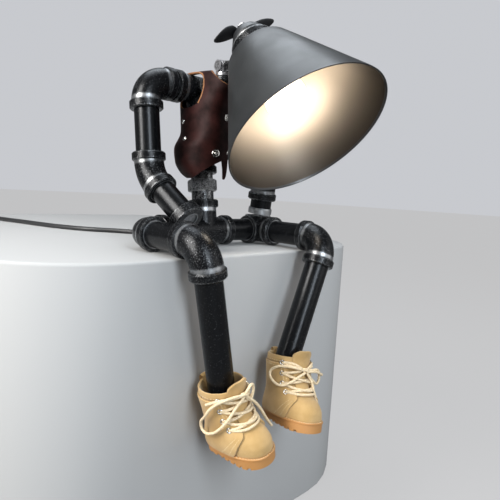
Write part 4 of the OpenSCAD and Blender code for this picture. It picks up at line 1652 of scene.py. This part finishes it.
@dataclass
class Boot:
    """A lace-up work boot: upper, quarters, tongue, laces, welt and sole."""

    side: str
    limb: Limb
    body: str
    bow: tuple[tuple[tuple[float, float, float], ...], ...]
    sole_z: float = -47.5
    # the share of the upper's grid that is its outer wall, the rest is collar and lining
    wall_share: float = 0.72
    quarter_top: float = -5.2
    quarter_foot: float = 0.6
    tongue_foot: float = -27.0
    tongue_len: float = 34.0
    eyelet_out: float = 1.7
    stitch_out: float = 1.62
    # half the length, the width and the height of a stitch
    stitch: tuple[float, float, float] = (0.66, 0.3, 0.24)
    # height, half width, back, front, squareness
    stations: tuple[tuple[float, ...], ...] = (
        (-47.5, 15.4, 15.8, -39.8, 0.80), (-44.5, 16.2, 16.6, -40.6, 0.80),
        (-40, 16.4, 16.8, -40.2, 0.82), (-36, 16.0, 16.4, -38.2, 0.84),
        (-32, 15.4, 16.0, -34.2, 0.88), (-29, 15.1, 15.8, -29.6, 0.92),
        (-26, 15.1, 15.7, -25.2, 0.95), (-22, 15.4, 15.9, -21.8, 0.98),
        (-16, 16.0, 16.4, -19.2, 1.0), (-9, 16.9, 17.2, -18.1, 1.0), (0, 18, 18, -18, 1.0),
    )
    # height, angle of the quarter's front edge from the toe
    facing: tuple[tuple[float, float], ...] = (
        (-47.5, 78), (-43.4, 74), (-37.7, 66), (-33.5, 54), (-30.8, 42), (-28.2, 36),
        (-24, 38), (-17.9, 40), (-9, 44), (0, 48),
    )
    # the collar rolls over into the lining: height, step out from the upper's top
    roll: tuple[tuple[float, float], ...] = (
        (0.0, 0.0), (0.6, -0.1), (1.0, -0.5), (0.9, -1.1), (0.3, -1.7), (-1.5, -2.0), (-9, -2.6),
        (-20, -3.6), (-21.5, -6.0),
    )
    # height, angle from the toe
    eyelets: tuple[tuple[float, float], ...] = ((-4.2, 58), (-12.8, 59), (-20.8, 62), (-26.8, 60))
    # radius and height
    eyelet: tuple[tuple[float, float], ...] = (
        (0.95, -0.5), (2.2, -0.5), (2.32, 0.05), (2.05, 0.55), (1.6, 0.66), (1.15, 0.4), (0.95, 0.0),
        (0.95, -0.5),
    )
    # the pull tab's line, up the outside of the collar and down its inside
    tab: tuple[tuple[float, float, float], ...] = (
        (0, 19.3, -13), (0, 19.9, -6), (0, 20.6, 0), (0, 19.6, 3.4), (0, 17.6, 3.6), (0, 16.2, 0.5),
        (0, 15.2, -6),
    )
    # the knot's line, from the point where the laces meet
    knot: tuple[tuple[float, float, float], ...] = (
        (-2.6, 0.4, 0.8), (-1.2, -0.9, 1.3), (0.6, -1.3, 0.2), (1.6, -0.6, -1.4), (2.4, 0.6, -1.0),
    )

    def spot(self, degrees: float, z: float, out: float = 0.0) -> Vector:
        """Finds a point on the upper.

        Args:
            degrees: the angle from the toe towards the left side.
            z: the height, down from the collar.
            out: how far outside the surface it lies.

        Returns:
            The point in the boot's own millimetres.
        """
        half, back, front, square = along(self.stations, z)
        angle = math.radians(degrees)
        middle, reach = (back + front) / 2, (back - front) / 2 + out
        x = (half + out) * power(math.sin(angle), square)
        return Vector((x, middle - reach * power(math.cos(angle), square), z))

    def build(self) -> None:
        """Makes the boot's pieces and dresses its sole."""
        parts = [self._upper(), self._quarter(1), self._quarter(-1), self._tongue(), self._tab()]
        leather = Bench.join(self.side + "_boot_upper", parts)
        self._finish(leather, [Palette.BOOT, Palette.LINING], [self.side + "_boot"])
        self._finish(self._welt(), [Palette.SOLE], [])
        self._finish(self._eyelets(), [Palette.SNAP], [])
        self._finish(self._laces(), [Palette.LACE], [])
        self._finish(self._stitches(), [Palette.THREAD_PALE], [])
        dress([self.side + "_sole"], Palette.SOLE)

    def _finish(
        self, piece: bpy.types.Object, finishes: Sequence[Finish], replaces: Sequence[str]
    ) -> None:
        """Places a piece of the boot and dresses it.

        Args:
            piece: the piece, in the boot's own millimetres.
            finishes: its material slots in order.
            replaces: the CAD nodes that it stands for.
        """
        faces = [face.material_index for face in piece.data.polygons]
        settle(piece, self.body, finishes, replaces)
        piece.data.polygons.foreach_set("material_index", [min(f, len(finishes) - 1) for f in faces])
        Bench.place(piece, STANCE.matrix(self.limb))
        Bench.smooth(piece, 50)

    def _upper(self) -> bpy.types.Object:
        """Lofts the upper from the welt to the rolled collar and into the lining.

        Returns:
            The upper.
        """
        roll = [(i / (len(self.roll) - 1), *row) for i, row in enumerate(self.roll)]
        wall = self.wall_share

        def place(across: float, up: float) -> Vector:
            """Gives the upper's place for a share of its girth and height.

            Args:
                across: the share of the way round.
                up: the share of the way up.

            Returns:
                The place in the boot's own millimetres.
            """
            degrees = across * 360
            if up <= wall:
                z = self.sole_z - self.sole_z * up / wall
                # creases over the instep, then the padded collar with its seam
                crease = 0.0
                if -31 < z < -17:
                    front = max(0.0, math.cos(math.radians(degrees))) ** 2
                    crease = -0.55 * front * (0.5 + 0.5 * math.sin(z * 1.25))
                pad = 0.35 * math.exp(-(((z + 2.6) / 2.4) ** 2)) - 0.3 * math.exp(-(((z + 5.4) / 0.7) ** 2))
                return self.spot(degrees, z, crease + pad)
            rise, out = along(roll, (up - wall) / (1 - wall))
            ring = self.spot(degrees, 0.0, out + 0.25)
            return Vector((ring.x, ring.y, rise))

        upper = Bench.mapped("upper", 96, 84, place)
        Bench.tidy(upper, 0.02)
        upper.data.materials.append(None)
        upper.data.materials.append(None)
        for face in upper.data.polygons:
            middle = face.center
            face.material_index = 1 if middle.z > -23 and math.hypot(middle.x, middle.y) < 15.2 else 0
        return upper

    def _quarter(self, side: int) -> bpy.types.Object:
        """Lays one quarter over the upper, from its facing to the back seam.

        Args:
            side: 1 for the left quarter, -1 for the right.

        Returns:
            The quarter.
        """

        def place(across: float, up: float) -> Vector:
            """Gives the quarter's place for a share of its width and height.

            Args:
                across: the share of the way from its facing to the back seam.
                up: the share of the way up.

            Returns:
                The place in the boot's own millimetres.
            """
            foot = self.sole_z + self.quarter_foot
            z = foot + (self.quarter_top - foot) * up
            edge = along(self.facing, z)[0]
            degrees = side * (edge + (180 - edge) * across)
            return self.spot(degrees, z, 0.6)

        quarter = Bench.mapped("quarter", 40, 36, place)
        Bench.tidy(quarter, 0.01)
        self._outward(quarter)
        Bench.apply(quarter, "SOLIDIFY", thickness=1.5, offset=0.5)
        Bench.bevel(quarter, 0.28, 2, 50)
        return quarter

    @staticmethod
    def _outward(piece: bpy.types.Object) -> None:
        """Turns an open sheet's faces away from the boot's middle.

        Args:
            piece: the sheet.
        """
        faces = piece.data.polygons
        outward = sum(face.normal.dot(face.center - Vector((0, -6, face.center.z))) for face in faces)
        if outward < 0:
            Bench.edit(piece)
            bpy.ops.mesh.flip_normals()
            bpy.ops.object.mode_set(mode="OBJECT")

    def _tongue(self) -> bpy.types.Object:
        """Stands the padded tongue behind the laces.

        Returns:
            The tongue.
        """

        def place(across: float, up: float) -> Vector:
            """Gives the tongue's place for a share of its width and length.

            Args:
                across: the share of the way across.
                up: the share of the way up.

            Returns:
                The place in the boot's own millimetres.
            """
            z = self.tongue_foot + self.tongue_len * up
            wide = (26 + 10 * up) * (1 - 0.55 * max(0.0, (up - 0.86) / 0.14) ** 2)
            here = self.spot((across - 0.5) * 2 * wide, min(z, 0), 0.2)
            puff = 0.7 * math.sin(math.pi * across) * (1 - 0.5 * up)
            lean = max(0.0, z) * 0.22
            return Vector((here.x, here.y - puff - lean, z))

        tongue = Bench.mapped("tongue", 18, 28, place)
        self._outward(tongue)
        Bench.apply(tongue, "SOLIDIFY", thickness=1.9, offset=0.0)
        Bench.bevel(tongue, 0.6, 2, 50)
        return tongue

    def _tab(self) -> bpy.types.Object:
        """Folds the pull tab over the back of the collar.

        Returns:
            The tab.
        """
        tab = Bench.strand("tab", self.tab, 0.65, 2)
        Bench.widen(tab, 5.0, (0, 18, 0))
        return tab

    def _rim(self, out: float, steps: int = 72) -> list[tuple[float, float]]:
        """Gives the outline of the foot at the sole, a step outside the upper."""
        return [tuple(self.spot(360 * i / steps, self.sole_z + 2.0, out).xy) for i in range(steps)]

    def _welt(self) -> bpy.types.Object:
        """Cuts the welt that the upper is sewn to.

        Returns:
            The welt.
        """
        welt = Bench.prism("welt", [(x, y, self.sole_z - 0.1) for x, y in self._rim(1.5)], (0, 0, 1.7))
        Bench.bevel(welt, 0.45, 3, 60)
        welt.name = self.side + "_boot_welt"
        return welt

    def _eyelets(self) -> bpy.types.Object:
        """Presses the eyelets into both facings.

        Returns:
            All the eyelets as one piece.
        """
        rings = []
        for side in (1, -1):
            for z, degrees in self.eyelets:
                here, out = self._at(side * degrees, z, self.eyelet_out)
                ring = Bench.lathe("eyelet", self.eyelet, 24)
                rings.append(Bench.place(ring, Matrix.Translation(here) @ standing(out)))
        return Bench.join(self.side + "_boot_eyelets", rings)

    def _at(self, degrees: float, z: float, out: float) -> tuple[Vector, Vector]:
        """Finds a place on the boot and the way out of it.

        Args:
            degrees: the angle from the toe towards the left side.
            z: the height, down from the collar.
            out: how far outside the surface it lies.

        Returns:
            The place, and the way out as a unit vector.
        """
        here = self.spot(degrees, z, out)
        beside = self.spot(degrees + 2, z, out) - here
        above = self.spot(degrees, z + 1, out) - here
        way = beside.cross(above).normalized()
        return here, way if way.dot(here - Vector((0, -6, z))) > 0 else -way

    def _laces(self) -> bpy.types.Object:
        """Threads the lace through the eyelets and ties the bow.

        Returns:
            The lace with its knot.
        """
        strands = []
        for (z, degrees), (lower, wide) in zip(self.eyelets, self.eyelets[1:]):
            for side in (1, -1):
                start = self._at(side * degrees, z, 1.5)[0]
                stop = self._at(-side * wide, lower, 1.5)[0]
                down = self.spot(side * degrees * 0.55, z - 2, 3.0)
                mid = self.spot(0, (z + lower) / 2, 2.4 if side > 0 else 4.2)
                across = self.spot(-side * wide * 0.55, lower + 2, 3.0)
                strands.append([start, down, mid, across, stop])
        z, degrees = self.eyelets[-1]
        ends = [self._at(side * degrees, z, self.eyelet_out)[0] for side in (1, -1)]
        inner = [self.spot(degrees * share, z, out) for share, out in ((0.5, 2.6), (0, 2.4), (-0.5, 2.6))]
        strands.append([ends[0], *inner, ends[1]])
        top = Vector(self.bow[0][0]) + Vector((0.6, 0, 0))
        for side in (1, -1):
            z, degrees = self.eyelets[0]
            start = self._at(side * degrees, z, 1.5)[0]
            strands.append([start, self.spot(side * 34, z + 0.5, 2.8), top])
        strands.extend([Vector(p) for p in line] for line in self.bow)
        parts = [Bench.strand("lace", line, 1.12, 3) for line in strands]
        knot = Bench.strand("knot", [top + Vector(p) for p in self.knot], 1.5, 3)
        return Bench.join(self.side + "_boot_laces", [*parts, knot])

    def _stitches(self) -> bpy.types.Object:
        """Sews short stitches along the facings, the seams and the welt.

        Returns:
            All the stitches as one piece.
        """
        places: list[tuple[Vector, Vector, Vector]] = []
        # two rows behind each facing, 1.42 mm from stitch to stitch
        for side in (1, -1):
            for inset in (2.6, 5.2):
                for step in range(30):
                    z = self.sole_z + 2.5 + step * 1.42
                    if z > -5.6:
                        break
                    edge = along(self.facing, z)[0]
                    after = along(self.facing, z + 0.5)[0]
                    here, out = self._at(side * (edge + inset * 3.1), z, self.stitch_out)
                    there = self._at(side * (after + inset * 3.1), z + 0.5, self.stitch_out)[0]
                    places.append((here, out, there - here))
        # one row round the collar's pad and one along the quarters' top
        for height, out_by in ((-3.4, 0.42), (-7.4, self.stitch_out)):
            for step in range(44):
                degrees = 54 + step * (252 / 43) if height < -5 else step * (360 / 43)
                here, out = self._at(degrees, height, out_by)
                there = self._at(degrees + 2, height, out_by)[0]
                places.append((here, out, there - here))
        # one row on the welt
        rim = self._rim(0.75, 64)
        for (x, y), (nx, ny) in zip(rim, rim[1:] + rim[:1]):
            here = Vector((x, y, self.sole_z + 1.65))
            places.append((here, Vector((0, 0, 1)), Vector((nx - x, ny - y, 0))))
        Bench.clear()
        bpy.ops.mesh.primitive_uv_sphere_add(segments=8, ring_count=6, radius=1.0)
        model = Bench.named("stitch")
        half_len, half_wide, half_high = self.stitch
        copies = []
        for here, out, run in places:
            copy = model.copy()
            copy.data = model.data.copy()
            bpy.context.collection.objects.link(copy)
            way = run.normalized()
            cross = out.cross(way).normalized()
            shape = Matrix((way * half_len, cross * half_wide, out * half_high)).transposed()
            copy.data.transform(Matrix.Translation(here) @ shape.to_4x4())
            copies.append(copy)
        bpy.data.objects.remove(model)
        return Bench.join(self.side + "_boot_stitches", copies)


BOOTS = (
    Boot(
        "right", Limb.RIGHT_BOOT, "right_leg",
        (
            ((-1, -22.6, -3.4), (-8, -21.6, -1.6), (-15.5, -17.6, -1.8), (-21.2, -9.6, -6.4),
             (-22.6, -1.3, -15.9), (-20.6, 6.2, -25.6), (-20.4, 4.6, -31), (-20.8, -3.2, -30.4),
             (-19.6, -11.4, -25.2), (-14.8, -18.4, -16.6), (-8.2, -21.6, -9), (-1.2, -23.2, -4.6)),
            ((0.8, -22.8, -3.2), (2.4, -24, -0.6), (7.4, -24.2, 1.8), (9.6, -23.6, -1.2),
             (8.6, -23, -6.8), (4.8, -23.4, -9.4), (0.4, -23.2, -5)),
            ((0.6, -23.6, -4.6), (4, -24.6, -8.2), (8.6, -25.2, -13.8), (14.2, -24.6, -22),
             (20.2, -23.6, -33), (27, -23, -44)),
            ((-1, -23, -4), (-9, -20.8, -2.2), (-16.4, -15.4, -2.2), (-20.6, -9.8, -3.2),
             (-22.6, -4.2, -5.6)),
        ),
    ),
    Boot(
        "left", Limb.LEFT_BOOT, "left_leg",
        (
            ((-0.8, -22.4, -8.8), (-8.4, -21.6, -7), (-15.8, -16, -6.4), (-20.6, -8, -8.4),
             (-22, -3.1, -14), (-20.6, -7.4, -20.4), (-18, -14.2, -22), (-13.6, -19, -19),
             (-8, -21.6, -14.6), (-1.2, -23.2, -10)),
            ((0.8, -22.8, -8.4), (7.4, -23.2, -8), (14.4, -22, -8.2), (19, -20.4, -13),
             (17.8, -20.2, -19.6), (11.4, -21.2, -17.4), (1, -23.2, -10.2)),
            ((1, -23.4, -9.4), (10.6, -24, -9.2), (20, -22.4, -12)),
            ((0.6, -23.4, -10), (6.4, -24.6, -17.4), (9.4, -25.4, -25), (14, -27.4, -36.5)),
        ),
    ),
)


def main() -> None:
    """Builds the lamp from its cord to its boots."""
    logging.basicConfig(level=logging.INFO, format="%(name)s: %(message)s")
    bpy.context.scene.view_settings.view_transform = "Standard"
    studio = Studio()
    studio.camera()
    MainsCord().build()
    PipeWork().build()
    Head().build()
    Vest().build()
    for boot in BOOTS:
        boot.build()
    studio.plinth()
    studio.lights()


if __name__ == "__main__":
    main()
